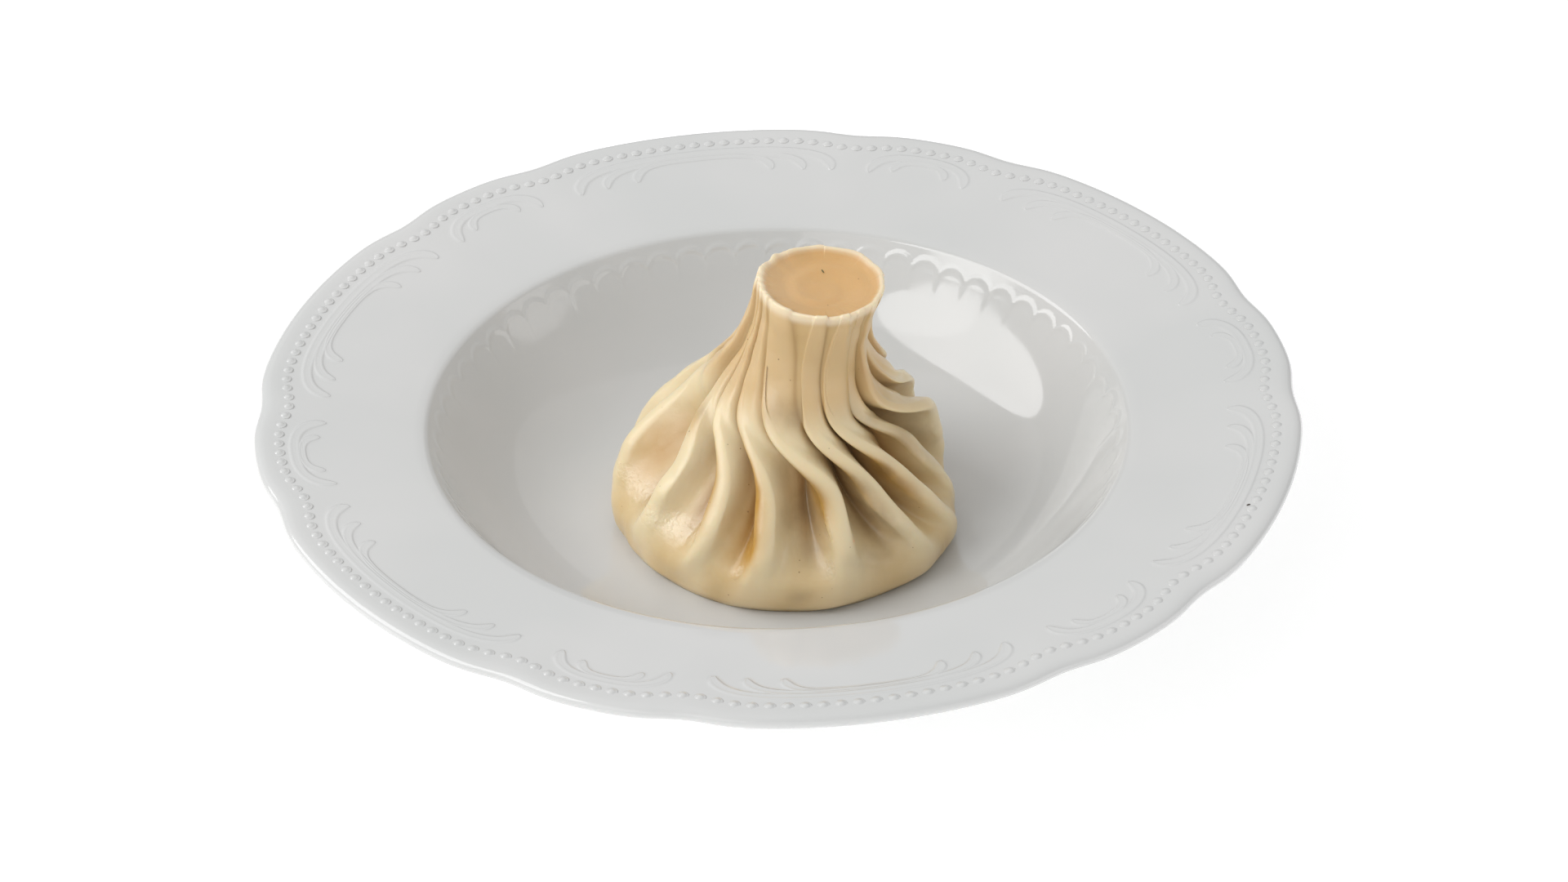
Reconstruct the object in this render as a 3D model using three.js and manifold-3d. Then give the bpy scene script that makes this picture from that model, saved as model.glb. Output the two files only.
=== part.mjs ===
// A pleated dumpling with a cut stem, resting in the well of a white porcelain rim soup plate.
// Units are millimetres and +Z is up. The origin is on the table, under the middle of the plate.
import * as THREE from "three";
import Module from "manifold-3d";

const wasm = await Module();
wasm.setup();

// Plate: radii are measured from the middle of the plate, heights from the table
const FLOOR_RADIUS = 40;
const FLOOR_HEIGHT = 7;
const SCALLOP_RADIUS = 75.5;
const SCALLOP_HEIGHT = 30.4;
const SHOULDER_RADIUS = 78.5;
const SHOULDER_HEIGHT = 32.8;
const BEAD_RADIUS = 110;
const BEAD_HEIGHT = 37.4;
const FOOT_RECESS = 2;
// Its section below, from the recess in the foot out to the rim: radius, height and the share of
// the lobed outline that the corner takes on
const UNDERSIDE = [
  [54.8, FOOT_RECESS, 0], [56, 0, 0], [59, 0, 0], [60.4, 4.5, 0], [66, 11, 0],
  [72.6, 18.6, 0], [77.2, 25.8, 0], [83, 29.8, 0.1], [BEAD_RADIUS, 34, 1],
];
// The rolled lip, given the same way: its outline is smoother than that of the beads
const LIP = [[114.3, 35.3, 0.7], [115.3, 36.6, 0.6], [114.1, 37.8, 0.7]];
// The well's wall from the scallops down: radius and height
const WALL = [[70.5, 22.6], [62, 14.1], [52, 8.9], [FLOOR_RADIUS, FLOOR_HEIGHT]];

// Plate ornament: the lobed outline, the beads, the scallops in the well and the scroll brackets
const SECTORS = 6;
const SECTOR = 360 / SECTORS;
const LONG_LOBE_MIDDLE = 40;
const SHORT_LOBE_MIDDLE = 10.5;
const DIP_FROM_SHORT_MIDDLE = 9.8;
const DIP_DEPTH = 2.2;
const DIP_SPREAD = 4;
const BEADS = 192;
const BEAD_RISE = 0.9;
const BEAD_BAND = 2.2;
const SCALLOPS = 66;
const SCALLOP_TURN = -0.11;
const SCALLOP_RISE = 0.8;
const SCALLOP_BAND = 2.4;
const SCROLL_TIP_RADIUS = 99.6;
const SCROLL_RISE = 0.55;
const SCROLL_SUNK = 0.7;
// Slivers finer than this are taken out once the brackets are joined on
const FINEST_DETAIL = 0.03;
// Each stroke of a bracket: half its angle in degrees, the radius of its top, how square its
// corner is and the steps along it
const LONG_STROKES = [
  { half: 17.6, top: 107.4, square: 6, steps: 8 },
  { half: 13.5, top: 106.0, square: 5, steps: 8 },
  { half: 9.5, top: 104.6, square: 4.5, steps: 6 },
];
const SHORT_STROKES = [
  { half: 6.9, top: 107.0, square: 2.8, steps: 6 },
  { half: 3.7, top: 104.4, square: 2.6, steps: 6 },
];
const STROKE_WIDTH_MIDDLE = 1.1;
const STROKE_WIDTH_END = 2.4;
const STROKE_STEP = 0.01;
const WELL_COLUMNS = 72;
const LIP_COLUMNS = BEADS;

// Dumpling: heights are measured from its own underside, which stays just clear of the well's floor
const RESTING_GAP = 0.3;
const BASE_MIDDLE = new THREE.Vector2(1, -2.2);
const STEM_MIDDLE = new THREE.Vector2(10, 0.5);
// The stem stands to one side of the base: from this height up, along a curve of this power
const STEM_SHIFT_STARTS = 12;
const STEM_SHIFT_CURVE = 1.3;
const STEM_TOP = 60;
const CUT_SLOPE = 0.8;
const CUT_SLOPE_TOWARDS = 130;
// The dough's section at thirteen levels: radius and height on the pleats and in the valleys between
const CREST = [
  [34, 0], [37.4, 3], [38.4, 8], [37.6, 13], [34.8, 18], [30.6, 22.5], [26.2, 27],
  [21.7, 31.5], [17.7, 36], [14.8, 41], [13.3, 46], [13.2, 52.5], [14.4, 60],
];
const VALLEY = [
  [34, 0], [37.2, 3], [37.2, 7.5], [33, 12], [26.4, 17], [21.6, 22], [18.4, 27],
  [15.9, 31.5], [14, 36], [12.5, 41], [11.9, 46], [12, 52.5], [13.6, 60],
];
// Each fold laps over the one before it: its valley lies this share of the way to the next ridge, at
// eight even steps up
const VALLEY_PLACE = [0.5, 0.55, 0.64, 0.7, 0.74, 0.78, 0.8, 0.5];
// At the thirteen levels, a ridge is a rope of this half width, and after it the dough slopes on to
// its valley: the slope takes this share of the fall, and a high curve keeps it level for longer
const ROPE = [4, 4, 3.6, 3.2, 3, 2.9, 2.8, 2.6, 2.4, 2.2, 2, 2, 2];
const SLOPE_SHARE = [0.5, 0.5, 0.4, 0.35, 0.3, 0.3, 0.35, 0.55, 0.85, 1, 1, 1, 1];
const SLOPE_CURVE = [2, 2, 2, 2, 2, 2, 2, 2.5, 4, 6, 6, 6, 6];
const ROPE_TOP = 0.3;
// The folds bunch towards their ridges, and lie over by this much between two shares of the height
const RIDGE_BUNCHING = 1.3;
const LEAN_OVER = -2.2;
const LEAN_FROM = 0.15;
const LEAN_TO = 0.8;
// Each pleat: its direction in degrees at seven even steps from the foot up to the cut, and how far
// its fold and the valley after it stand out from the section at the five steps between those ends
const PLEATS = [
  { turn: [150, 148, 146, 140, 144, 162, 162], out: [0.5, 1.5, 3.5, 4, 3], valley: [0, 0, 0, 1, 1] },
  { turn: [186, 180, 176, 166, 160, 175, 172], out: [0, 1, 2, 3, 3], valley: [-0.5, -0.5, -3, -1, 0] },
  { turn: [212, 210, 212, 209, 191, 184, 182], out: [-1.5, -1.5, 0.5, 1, 0.5], valley: [-1.5, 0.5, -0.5, 0, 0] },
  { turn: [235, 237, 241, 235, 205, 193, 192], out: [-1.8, -0.5, 0.5, 0.5, 0.5], valley: [-0.8, 0, -0.5, 0, 0] },
  { turn: [254, 259, 263, 255, 224, 205, 203], out: [-0.3, 0, 0, 0, 0], valley: [0, 0, -0.5, 0.5, 0] },
  { turn: [287, 291, 291, 285, 250, 227, 216], out: [0.8, 1, 1.5, 1, 0], valley: [1.2, 0, -0.5, 2, 0.5] },
  { turn: [325, 322, 313, 302, 278, 265, 263], out: [2.4, 2, 1.8, 0.8, 0], valley: [2, -1, -1, 0.5, 0] },
  { turn: [344, 339, 330, 319, 295, 287, 287], out: [2.2, 1.6, 1.2, 0.5, 0], valley: [1, 0, 1, 2, 0.5] },
  { turn: [360, 356, 350, 342, 315, 312, 305], out: [0, -0.5, 0, 0, -1], valley: [-1, -3, -5, -1, 0] },
  { turn: [379, 376, 372, 367, 333, 333, 322], out: [-1, 1, 5.5, 3.5, 1], valley: [-1, 1, 2, 1, 0] },
  { turn: [404, 401, 397, 390, 364, 350, 344], out: [0, 1, 4.5, 3.5, 0], valley: [0, 1, 2, 0, 0] },
  { turn: [428, 425, 419, 410, 392, 378, 374], out: [0, 1, 3, 4, 1.5], valley: [0, 0, 1, 1, 0] },
  { turn: [452, 449, 441, 429, 416, 408, 410], out: [0, 0, 0.5, 1, 0], valley: [0, 0, 0, 0, 0] },
  { turn: [475, 471, 461, 449, 438, 440, 448], out: [0, 0, 0, 0.5, 0], valley: [0, 0, 0, 0, 0] },
  { turn: [494, 490, 482, 472, 468, 481, 488], out: [0, 0.5, 1.2, 2, 1], valley: [0, 0, 0, 0.5, 0.5] },
];
const FOOT_SHARE = 0.8;
const COLUMNS_PER_PLEAT = 8;
const DUMPLING_ROWS = 20;
// The cut face, from its edge to its middle: share of the radius and depth below the edge
const CUT_FACE = [
  [0.86, 0.5],
  [0.5, 1.9],
];
const CUT_MIDDLE_DEPTH = 2.3;

const radians = THREE.MathUtils.degToRad;

// A mesh gathered as rings of points: closed rings are stitched to each other and to end points
class RingMesh {
  constructor() {
    this.points = [];
    this.triangles = [];
  }

  point(x, y, z) {
    this.points.push(x, y, z);
    return this.points.length / 3 - 1;
  }

  ring(vectors) {
    return vectors.map((v) => this.point(v.x, v.y, v.z));
  }

  // Joins two rings that start at the same angle and may have different numbers of points
  stitch(lower, upper) {
    let i = 0;
    let j = 0;
    while (i < lower.length || j < upper.length) {
      const here = lower[i % lower.length];
      const there = upper[j % upper.length];
      const lowerNext = (i + 1) / lower.length;
      const upperNext = (j + 1) / upper.length;
      if (lowerNext <= upperNext) {
        this.triangles.push(here, lower[(i + 1) % lower.length], there);
        i += 1;
      } else {
        this.triangles.push(here, upper[(j + 1) % upper.length], there);
        j += 1;
      }
    }
  }

  // Joins two rings of equal count with a raised middle point in every cell
  studs(lower, upper, middles) {
    const count = lower.length;
    for (let i = 0; i < count; i += 1) {
      const next = (i + 1) % count;
      const top = this.point(middles[i].x, middles[i].y, middles[i].z);
      this.triangles.push(lower[i], lower[next], top);
      this.triangles.push(lower[next], upper[next], top);
      this.triangles.push(upper[next], upper[i], top);
      this.triangles.push(upper[i], lower[i], top);
    }
  }

  // Closes a ring on one middle point, on the ring's outer side or, turned round, on its inner side
  close(ring, x, y, z, turned) {
    const middle = this.point(x, y, z);
    for (let i = 0; i < ring.length; i += 1) {
      const next = ring[(i + 1) % ring.length];
      if (turned) {
        this.triangles.push(ring[i], middle, next);
      } else {
        this.triangles.push(ring[i], next, middle);
      }
    }
  }

  geometry() {
    const geometry = new THREE.BufferGeometry();
    geometry.setAttribute("position", new THREE.Float32BufferAttribute(this.points, 3));
    geometry.setIndex(this.triangles);
    return geometry;
  }

  solid() {
    const mesh = new wasm.Mesh({
      numProp: 3,
      vertProperties: new Float32Array(this.points),
      triVerts: new Uint32Array(this.triangles),
    });
    return new wasm.Manifold(mesh);
  }
}

// How much of the outline's dip an angle has: 1 in the middle of a dip, 0 on the lobes
function dipShare(degrees) {
  let share = 0;
  for (const side of [-1, 1]) {
    const dip = SHORT_LOBE_MIDDLE + side * DIP_FROM_SHORT_MIDDLE;
    const away = THREE.MathUtils.euclideanModulo(degrees - dip + SECTOR / 2, SECTOR) - SECTOR / 2;
    share += Math.exp(-((away / DIP_SPREAD) ** 2));
  }
  return share;
}

// One ring of the plate: follow is the share of the lobed outline that it takes on
function plateRing(count, radius, height, follow = 0, turn = 0) {
  const ring = [];
  for (let i = 0; i < count; i += 1) {
    const degrees = (360 * (i + turn)) / count;
    const r = radius - follow * DIP_DEPTH * dipShare(degrees);
    ring.push(new THREE.Vector3(r * Math.cos(radians(degrees)), r * Math.sin(radians(degrees)), height));
  }
  return ring;
}

// A ring with one point for each scallop, or between them when turned on by half a scallop
function scallopRing(radius, height, turn = 0) {
  return plateRing(SCALLOPS, radius, height, 0, SCALLOP_TURN + turn);
}

// Height of the rim's upper face between the shoulder and the beads
function rimHeight(radius) {
  const t = (radius - SHOULDER_RADIUS) / (BEAD_RADIUS - SHOULDER_RADIUS);
  return THREE.MathUtils.lerp(SHOULDER_HEIGHT, BEAD_HEIGHT, t);
}

// The plate without its scroll brackets
function plateBody() {
  const body = new RingMesh();
  const rings = UNDERSIDE.map(([r, z, follow]) => body.ring(plateRing(WELL_COLUMNS, r, z, follow)));
  body.close(rings[0], 0, 0, FOOT_RECESS, true);
  for (const [r, z, follow] of [...LIP, [BEAD_RADIUS + BEAD_BAND / 2, BEAD_HEIGHT, 1]]) {
    rings.push(body.ring(plateRing(LIP_COLUMNS, r, z, follow)));
  }
  for (let i = 1; i < rings.length; i += 1) {
    body.stitch(rings[i - 1], rings[i]);
  }
  const beadInner = body.ring(plateRing(LIP_COLUMNS, BEAD_RADIUS - BEAD_BAND / 2, BEAD_HEIGHT, 1));
  const beadTops = plateRing(LIP_COLUMNS, BEAD_RADIUS, BEAD_HEIGHT + BEAD_RISE, 1, 0.5);
  body.studs(rings.at(-1), beadInner, beadTops);
  const upper = [
    beadInner,
    body.ring(plateRing(WELL_COLUMNS, SHOULDER_RADIUS, SHOULDER_HEIGHT)),
    body.ring(scallopRing(SCALLOP_RADIUS + SCALLOP_BAND / 2, SCALLOP_HEIGHT + 1)),
  ];
  for (let i = 1; i < upper.length; i += 1) {
    body.stitch(upper[i - 1], upper[i]);
  }
  const scallopTops = scallopRing(SCALLOP_RADIUS - SCALLOP_RISE, SCALLOP_HEIGHT + SCALLOP_RISE / 2, 0.5);
  const well = [body.ring(scallopRing(SCALLOP_RADIUS - SCALLOP_BAND / 2, SCALLOP_HEIGHT - 2))];
  body.studs(upper.at(-1), well[0], scallopTops);
  for (const [r, z] of WALL) {
    well.push(body.ring(plateRing(WELL_COLUMNS, r, z)));
  }
  for (let i = 1; i < well.length; i += 1) {
    body.stitch(well[i - 1], well[i]);
  }
  body.close(well.at(-1), 0, 0, FLOOR_HEIGHT, false);
  return body.solid();
}

// A point on a stroke: angle from the bracket's middle in degrees, and radius, for t from -1 to 1
function strokePoint(stroke, t) {
  const bend = (Math.PI / 2) * t;
  const across = Math.sign(t) * Math.abs(Math.sin(bend)) ** (2 / stroke.square);
  const up = Math.abs(Math.cos(bend));
  return {
    degrees: stroke.half * across,
    radius: SCROLL_TIP_RADIUS + (stroke.top - SCROLL_TIP_RADIUS) * up,
  };
}

// One raised stroke: a three-sided blade along its curve, wider towards both ends
function strokeBlade(stroke, middle) {
  const blade = new RingMesh();
  const onRim = (t) => {
    const { degrees, radius } = strokePoint(stroke, t);
    const a = radians(middle + degrees);
    return new THREE.Vector2(radius * Math.cos(a), radius * Math.sin(a));
  };
  const rings = [];
  for (let i = 0; i <= stroke.steps; i += 1) {
    const t = (2 * i) / stroke.steps - 1;
    const here = onRim(t);
    const ahead = onRim(Math.min(t + STROKE_STEP, 1));
    const forward = ahead.sub(onRim(Math.max(t - STROKE_STEP, -1))).normalize();
    const side = new THREE.Vector2(-forward.y, forward.x);
    const half = THREE.MathUtils.lerp(STROKE_WIDTH_MIDDLE, STROKE_WIDTH_END, t * t) / 2;
    const z = rimHeight(here.length());
    const left = here.clone().addScaledVector(side, half);
    const right = here.clone().addScaledVector(side, -half);
    rings.push(blade.ring([
      new THREE.Vector3(left.x, left.y, z - SCROLL_SUNK),
      new THREE.Vector3(right.x, right.y, z - SCROLL_SUNK),
      new THREE.Vector3(here.x, here.y, z + SCROLL_RISE),
    ]));
  }
  for (let i = 1; i < rings.length; i += 1) {
    blade.stitch(rings[i - 1], rings[i]);
  }
  const first = rings[0];
  const last = rings.at(-1);
  blade.triangles.push(first[2], first[1], first[0], last[0], last[1], last[2]);
  return blade.solid();
}

function makePlate() {
  let plate = plateBody();
  for (let k = 0; k < SECTORS; k += 1) {
    for (const stroke of LONG_STROKES) {
      plate = plate.add(strokeBlade(stroke, LONG_LOBE_MIDDLE + SECTOR * k));
    }
    for (const stroke of SHORT_STROKES) {
      plate = plate.add(strokeBlade(stroke, SHORT_LOBE_MIDDLE + SECTOR * k));
    }
  }
  const { vertProperties, triVerts } = plate.simplify(FINEST_DETAIL).getMesh();
  const geometry = new THREE.BufferGeometry();
  geometry.setAttribute("position", new THREE.Float32BufferAttribute(vertProperties, 3));
  geometry.setIndex(Array.from(triVerts));
  return geometry;
}

// A value from a list spread evenly over 0 to 1, on a smooth curve through its entries
function along(list, s) {
  const last = list.length - 1;
  const place = THREE.MathUtils.clamp(s, 0, 1) * last;
  const i = Math.min(Math.floor(place), last - 1);
  const t = place - i;
  const b = list[i];
  const c = list[i + 1];
  const a = i > 0 ? list[i - 1] : 2 * b - c;
  const d = i + 2 <= last ? list[i + 2] : 2 * c - b;
  return 0.5 * (2 * b + (c - a) * t + (2 * a - 5 * b + 4 * c - d) * t * t
    + (3 * b - a - 3 * c + d) * t * t * t);
}

// The five middle levels of a pleat's list, with the foot close to the first and the cut at zero
function padded(list) {
  return [FOOT_SHARE * list[0], ...list, 0];
}

const crestRadius = CREST.map((level) => level[0]);
const crestHeight = CREST.map((level) => level[1]);
const valleyRadius = VALLEY.map((level) => level[0]);
const valleyHeight = VALLEY.map((level) => level[1]);

// A pleat counted past either end of the list, one or more turns on
function pleatAt(index) {
  const turns = Math.floor(index / PLEATS.length);
  const pleat = PLEATS[index - turns * PLEATS.length];
  return { pleat, turns };
}

// The middle of the dumpling's section at a height
function sectionMiddle(height) {
  const t = THREE.MathUtils.clamp((height - STEM_SHIFT_STARTS) / (STEM_TOP - STEM_SHIFT_STARTS), 0, 1);
  return new THREE.Vector2(
    THREE.MathUtils.lerp(BASE_MIDDLE.x, STEM_MIDDLE.x, t ** STEM_SHIFT_CURVE),
    THREE.MathUtils.lerp(BASE_MIDDLE.y, STEM_MIDDLE.y, t),
  );
}

// How high the dough stands after a ridge, from 1 on it to 0 in its valley: spread is the share of
// the way to the valley, and travelled that way in millimetres
function gentleFold(up, spread, travelled) {
  const rope = along(ROPE, up);
  const top = ROPE_TOP * rope;
  const fall = THREE.MathUtils.smoothstep(travelled, top, 2 * rope - top);
  const slope = along(SLOPE_SHARE, up);
  return (1 - fall) * (1 - slope) + slope * (1 - spread ** along(SLOPE_CURVE, up));
}

// A point of the dough: round is counted in pleats, and up goes from 0 at the foot to 1 at the cut
function doughPoint(round, up) {
  const nearest = Math.floor(round + 0.5);
  const side = round < nearest ? -1 : 1;
  const away = Math.abs(round - nearest) * 2;
  const mine = pleatAt(nearest);
  const other = pleatAt(nearest + side);
  const myTurn = along(mine.pleat.turn, up) + 360 * mine.turns;
  const otherTurn = along(other.pleat.turn, up) + 360 * other.turns;
  const spread = away ** RIDGE_BUNCHING;
  const place = along(VALLEY_PLACE, up);
  const swing = (otherTurn - myTurn) * (side > 0 ? place : 1 - place) * spread;
  const innerLevel = along(valleyRadius, up);
  const fold = side > 0
    ? gentleFold(up, spread, radians(Math.abs(swing)) * innerLevel)
    : 1 - THREE.MathUtils.smoothstep(spread, 0, 1);
  const before = along(padded(pleatAt(nearest - 1).pleat.valley), up);
  const after = along(padded(mine.pleat.valley), up);
  const hollow = side < 0
    ? THREE.MathUtils.lerp(after, before, 0.5 + 0.5 * away)
    : THREE.MathUtils.lerp(before, after, 0.5 + 0.5 * away);
  const inner = innerLevel + hollow;
  const outer = along(crestRadius, up) + along(padded(mine.pleat.out), up);
  const radius = THREE.MathUtils.lerp(inner, outer, fold);
  const height = THREE.MathUtils.lerp(along(valleyHeight, up), along(crestHeight, up), fold);
  const share = THREE.MathUtils.clamp((up - LEAN_FROM) / (LEAN_TO - LEAN_FROM), 0, 1);
  const lean = LEAN_OVER * Math.sin(Math.PI * share) * fold;
  const angle = radians(myTurn + swing) + lean / radius;
  const middle = sectionMiddle(height);
  return new THREE.Vector3(
    middle.x + radius * Math.cos(angle),
    middle.y + radius * Math.sin(angle),
    height,
  );
}

function makeDumpling() {
  const dough = new RingMesh();
  const columns = PLEATS.length * COLUMNS_PER_PLEAT;
  const rings = [];
  let edge = [];
  for (let row = 0; row <= DUMPLING_ROWS; row += 1) {
    edge = [];
    for (let column = 0; column < columns; column += 1) {
      edge.push(doughPoint(column / COLUMNS_PER_PLEAT, row / DUMPLING_ROWS));
    }
    if (row === DUMPLING_ROWS) {
      for (const point of edge) {
        point.z += cutSlope(point);
      }
    }
    rings.push(dough.ring(edge));
  }
  dough.close(rings[0], BASE_MIDDLE.x, BASE_MIDDLE.y, 0, true);
  for (const [share, depth] of CUT_FACE) {
    const ring = edge.map((point) => {
      const inner = new THREE.Vector3(
        THREE.MathUtils.lerp(STEM_MIDDLE.x, point.x, share),
        THREE.MathUtils.lerp(STEM_MIDDLE.y, point.y, share),
        STEM_TOP - depth,
      );
      inner.z += cutSlope(inner);
      return inner;
    });
    rings.push(dough.ring(ring));
  }
  for (let i = 1; i < rings.length; i += 1) {
    dough.stitch(rings[i - 1], rings[i]);
  }
  dough.close(rings.at(-1), STEM_MIDDLE.x, STEM_MIDDLE.y, STEM_TOP - CUT_MIDDLE_DEPTH, false);
  return dough.geometry();
}

// The cut isn't level: how much a point on it stands above the middle
function cutSlope(point) {
  const towards = radians(CUT_SLOPE_TOWARDS);
  const across = (point.x - STEM_MIDDLE.x) * Math.cos(towards)
    + (point.y - STEM_MIDDLE.y) * Math.sin(towards);
  return (CUT_SLOPE * across) / crestRadius.at(-1);
}

const porcelain = new THREE.MeshStandardMaterial({ color: 0xe6e8e8, roughness: 0.12, metalness: 0 });
const boiledDough = new THREE.MeshStandardMaterial({ color: 0xe3cfa8, roughness: 0.35, metalness: 0 });

const plate = new THREE.Mesh(makePlate(), porcelain);
plate.name = "plate";

const khinkali = new THREE.Mesh(makeDumpling(), boiledDough);
khinkali.name = "khinkali";
khinkali.position.z = FLOOR_HEIGHT + RESTING_GAP;

const dish = new THREE.Group();
dish.add(plate, khinkali);

export default dish;
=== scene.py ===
# %% [markdown]
# # A khinkali in a rim soup plate
#
# A khinkali is a boiled dumpling: a round of dough gathered into pleats over its filling, twisted
# into a stem and trimmed. This one rests in the well of a white porcelain soup plate with a lobed
# rim, a ring of beads, moulded scroll brackets and a row of scallops at the top of the well.
#
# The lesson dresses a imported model. The model is loaded first and stays where it is: it gives the
# size and the place of everything, in metres, with the table at height zero. Each piece made here
# is finer than the solid that it stands for, and keeps its form.

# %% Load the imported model
import math

import bpy
import numpy as np
from mathutils import Matrix, Vector


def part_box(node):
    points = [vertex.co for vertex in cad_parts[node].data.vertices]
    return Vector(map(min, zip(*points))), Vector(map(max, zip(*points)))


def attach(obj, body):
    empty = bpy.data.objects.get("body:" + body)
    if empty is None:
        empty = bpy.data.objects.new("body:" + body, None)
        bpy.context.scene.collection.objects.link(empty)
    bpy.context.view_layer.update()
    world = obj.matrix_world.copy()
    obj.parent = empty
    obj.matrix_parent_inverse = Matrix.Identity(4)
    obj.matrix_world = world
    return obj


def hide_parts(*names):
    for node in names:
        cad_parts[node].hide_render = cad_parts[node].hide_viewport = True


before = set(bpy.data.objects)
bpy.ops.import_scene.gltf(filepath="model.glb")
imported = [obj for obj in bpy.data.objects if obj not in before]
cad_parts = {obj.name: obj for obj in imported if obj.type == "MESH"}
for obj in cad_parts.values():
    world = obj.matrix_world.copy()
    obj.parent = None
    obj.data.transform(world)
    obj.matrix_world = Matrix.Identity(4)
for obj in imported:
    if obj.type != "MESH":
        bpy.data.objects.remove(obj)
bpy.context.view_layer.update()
plate_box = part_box("plate")
dumpling_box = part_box("khinkali")
print("plate", plate_box)
print("dumpling", dumpling_box)

# %% [markdown]
# ## Units and small helpers
#
# The pieces are thought out in millimetres, because a cook and a potter would say "a 230 mm plate".
# Blender works in metres here, so every length passes through one factor. An operator acts on all
# that is selected, so a helper clears the selection before each new piece.

# %% Units and helpers
MM = 0.001


def deselect_all():
    for item in bpy.context.selected_objects:
        item.select_set(False)


def activate(piece):
    deselect_all()
    piece.select_set(True)
    bpy.context.view_layer.objects.active = piece


def read_points(piece):
    """The piece's vertices as rows of x, y, z in millimetres."""
    flat = np.empty(len(piece.data.vertices) * 3)
    piece.data.vertices.foreach_get("co", flat)
    return flat.reshape(-1, 3) / MM


def write_points(piece, points):
    piece.data.vertices.foreach_set("co", (np.asarray(points) * MM).ravel())
    piece.data.update()


def add_attribute(piece, name, values):
    """Stores one number for each vertex, for a material to read."""
    layer = piece.data.attributes.new(name=name, type="FLOAT", domain="POINT")
    layer.data.foreach_set("value", np.asarray(values, dtype=np.float32))


def ease(t):
    """A smooth step from 0 to 1."""
    t = np.clip(t, 0, 1)
    return t * t * (3 - 2 * t)


# %% [markdown]
# ## The camera
#
# The camera stands where the photographer's did: about a metre from the plate, looking down on it at
# 35 degrees through a long lens. It is placed first, so that every test render can be laid against
# the photograph. Its three directions are worked out from a heading, a pitch and a slight roll.

# %% Camera
CAMERA_PLACE = (3.0, -807.9, 588.2)
CAMERA_HEADING = -0.0020
CAMERA_PITCH = -0.6083
CAMERA_ROLL = -0.0103
CAMERA_LENS = 101.8
CAMERA_SENSOR = 36
NEAREST_SEEN = 0.05


def add_camera():
    data = bpy.data.cameras.new("camera")
    data.lens = CAMERA_LENS
    data.sensor_width = CAMERA_SENSOR
    data.clip_start = NEAREST_SEEN
    camera = bpy.data.objects.new("camera", data)
    bpy.context.scene.collection.objects.link(camera)
    flat = math.cos(CAMERA_PITCH)
    forward = Vector((
        math.sin(CAMERA_HEADING) * flat,
        math.cos(CAMERA_HEADING) * flat,
        math.sin(CAMERA_PITCH),
    ))
    level = forward.cross(Vector((0, 0, 1))).normalized()
    upright = level.cross(forward)
    right = math.cos(CAMERA_ROLL) * level + math.sin(CAMERA_ROLL) * upright
    up = math.cos(CAMERA_ROLL) * upright - math.sin(CAMERA_ROLL) * level
    turn = Matrix((right, up, -forward)).transposed().to_4x4()
    place = Matrix.Translation(Vector(CAMERA_PLACE) * MM)
    camera.matrix_world = place @ turn
    bpy.context.scene.camera = camera
    return camera


camera = add_camera()
print("camera at", tuple(round(v, 3) for v in camera.matrix_world.translation))

# %% [markdown]
# ## The studio
#
# The photograph has a white sweep under the plate, even light from all round, a wide soft box on the
# left and a broad dim panel above the back. The box lights the dough's left flanks, and its mirror
# image lies in the glazed well at the back right. The panel's image fills the floor of the well and
# the rim. Three weak fills, from the left behind the camera, from the front and from low on the right,
# keep the shadows between the folds open. The floor isn't part of the object.

# %% Studio floor and lights
FLOOR_SIZE = 6.0
FLOOR_GLOW = 0.4
WORLD_STRENGTH = 0.49
LIGHT_DISTANCE = 1.5
# Each light: its name, its direction in degrees from the back, its height in degrees, its width and
# height in metres, its tilt in degrees and its power
LIGHTS = [
    ("soft_box", -90, 43, 1.9, 0.88, 18, 13.5),
    ("back_panel", 0, 52, 3.0, 1.8, 0, 4),
    ("left_fill", -135, 38, 1.6, 1.2, 0, 4),
    ("front_fill", 160, 20, 1.6, 1.0, 0, 2),
    ("right_fill", 105, 14, 1.6, 0.8, 0, 3.5),
]


def add_floor():
    bpy.ops.mesh.primitive_plane_add(size=FLOOR_SIZE, location=(0, 0, 0))
    floor = bpy.context.active_object
    floor.name = "studio_floor"
    material = bpy.data.materials.new("studio_floor")
    material.use_nodes = True
    shader = material.node_tree.nodes["Principled BSDF"]
    shader.inputs["Base Color"].default_value = (0.9, 0.9, 0.9, 1)
    shader.inputs["Roughness"].default_value = 0.9
    shader.inputs["Specular IOR Level"].default_value = 0.1
    shader.inputs["Emission Color"].default_value = (1, 1, 1, 1)
    shader.inputs["Emission Strength"].default_value = FLOOR_GLOW
    floor.data.materials.append(material)


def add_light(name, direction, height_angle, width, height, tilt, power):
    """A broad soft light that faces the plate."""
    data = bpy.data.lights.new(name, "AREA")
    data.shape = "ELLIPSE"
    data.size = width
    data.size_y = height
    data.energy = power
    light = bpy.data.objects.new(name, data)
    bpy.context.scene.collection.objects.link(light)
    turn = math.radians(direction)
    rise = math.radians(height_angle)
    towards = Vector((math.sin(turn) * math.cos(rise), math.cos(turn) * math.cos(rise), math.sin(rise)))
    facing = (-towards).to_track_quat("-Z", "Y").to_matrix().to_4x4()
    tilted = facing @ Matrix.Rotation(math.radians(tilt), 4, "Z")
    light.matrix_world = Matrix.Translation(towards * LIGHT_DISTANCE) @ tilted


def add_world():
    world = bpy.data.worlds.new("studio")
    world.use_nodes = True
    background = world.node_tree.nodes["Background"]
    background.inputs["Color"].default_value = (1.0, 1.0, 1.0, 1)
    background.inputs["Strength"].default_value = WORLD_STRENGTH
    bpy.context.scene.world = world


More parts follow.
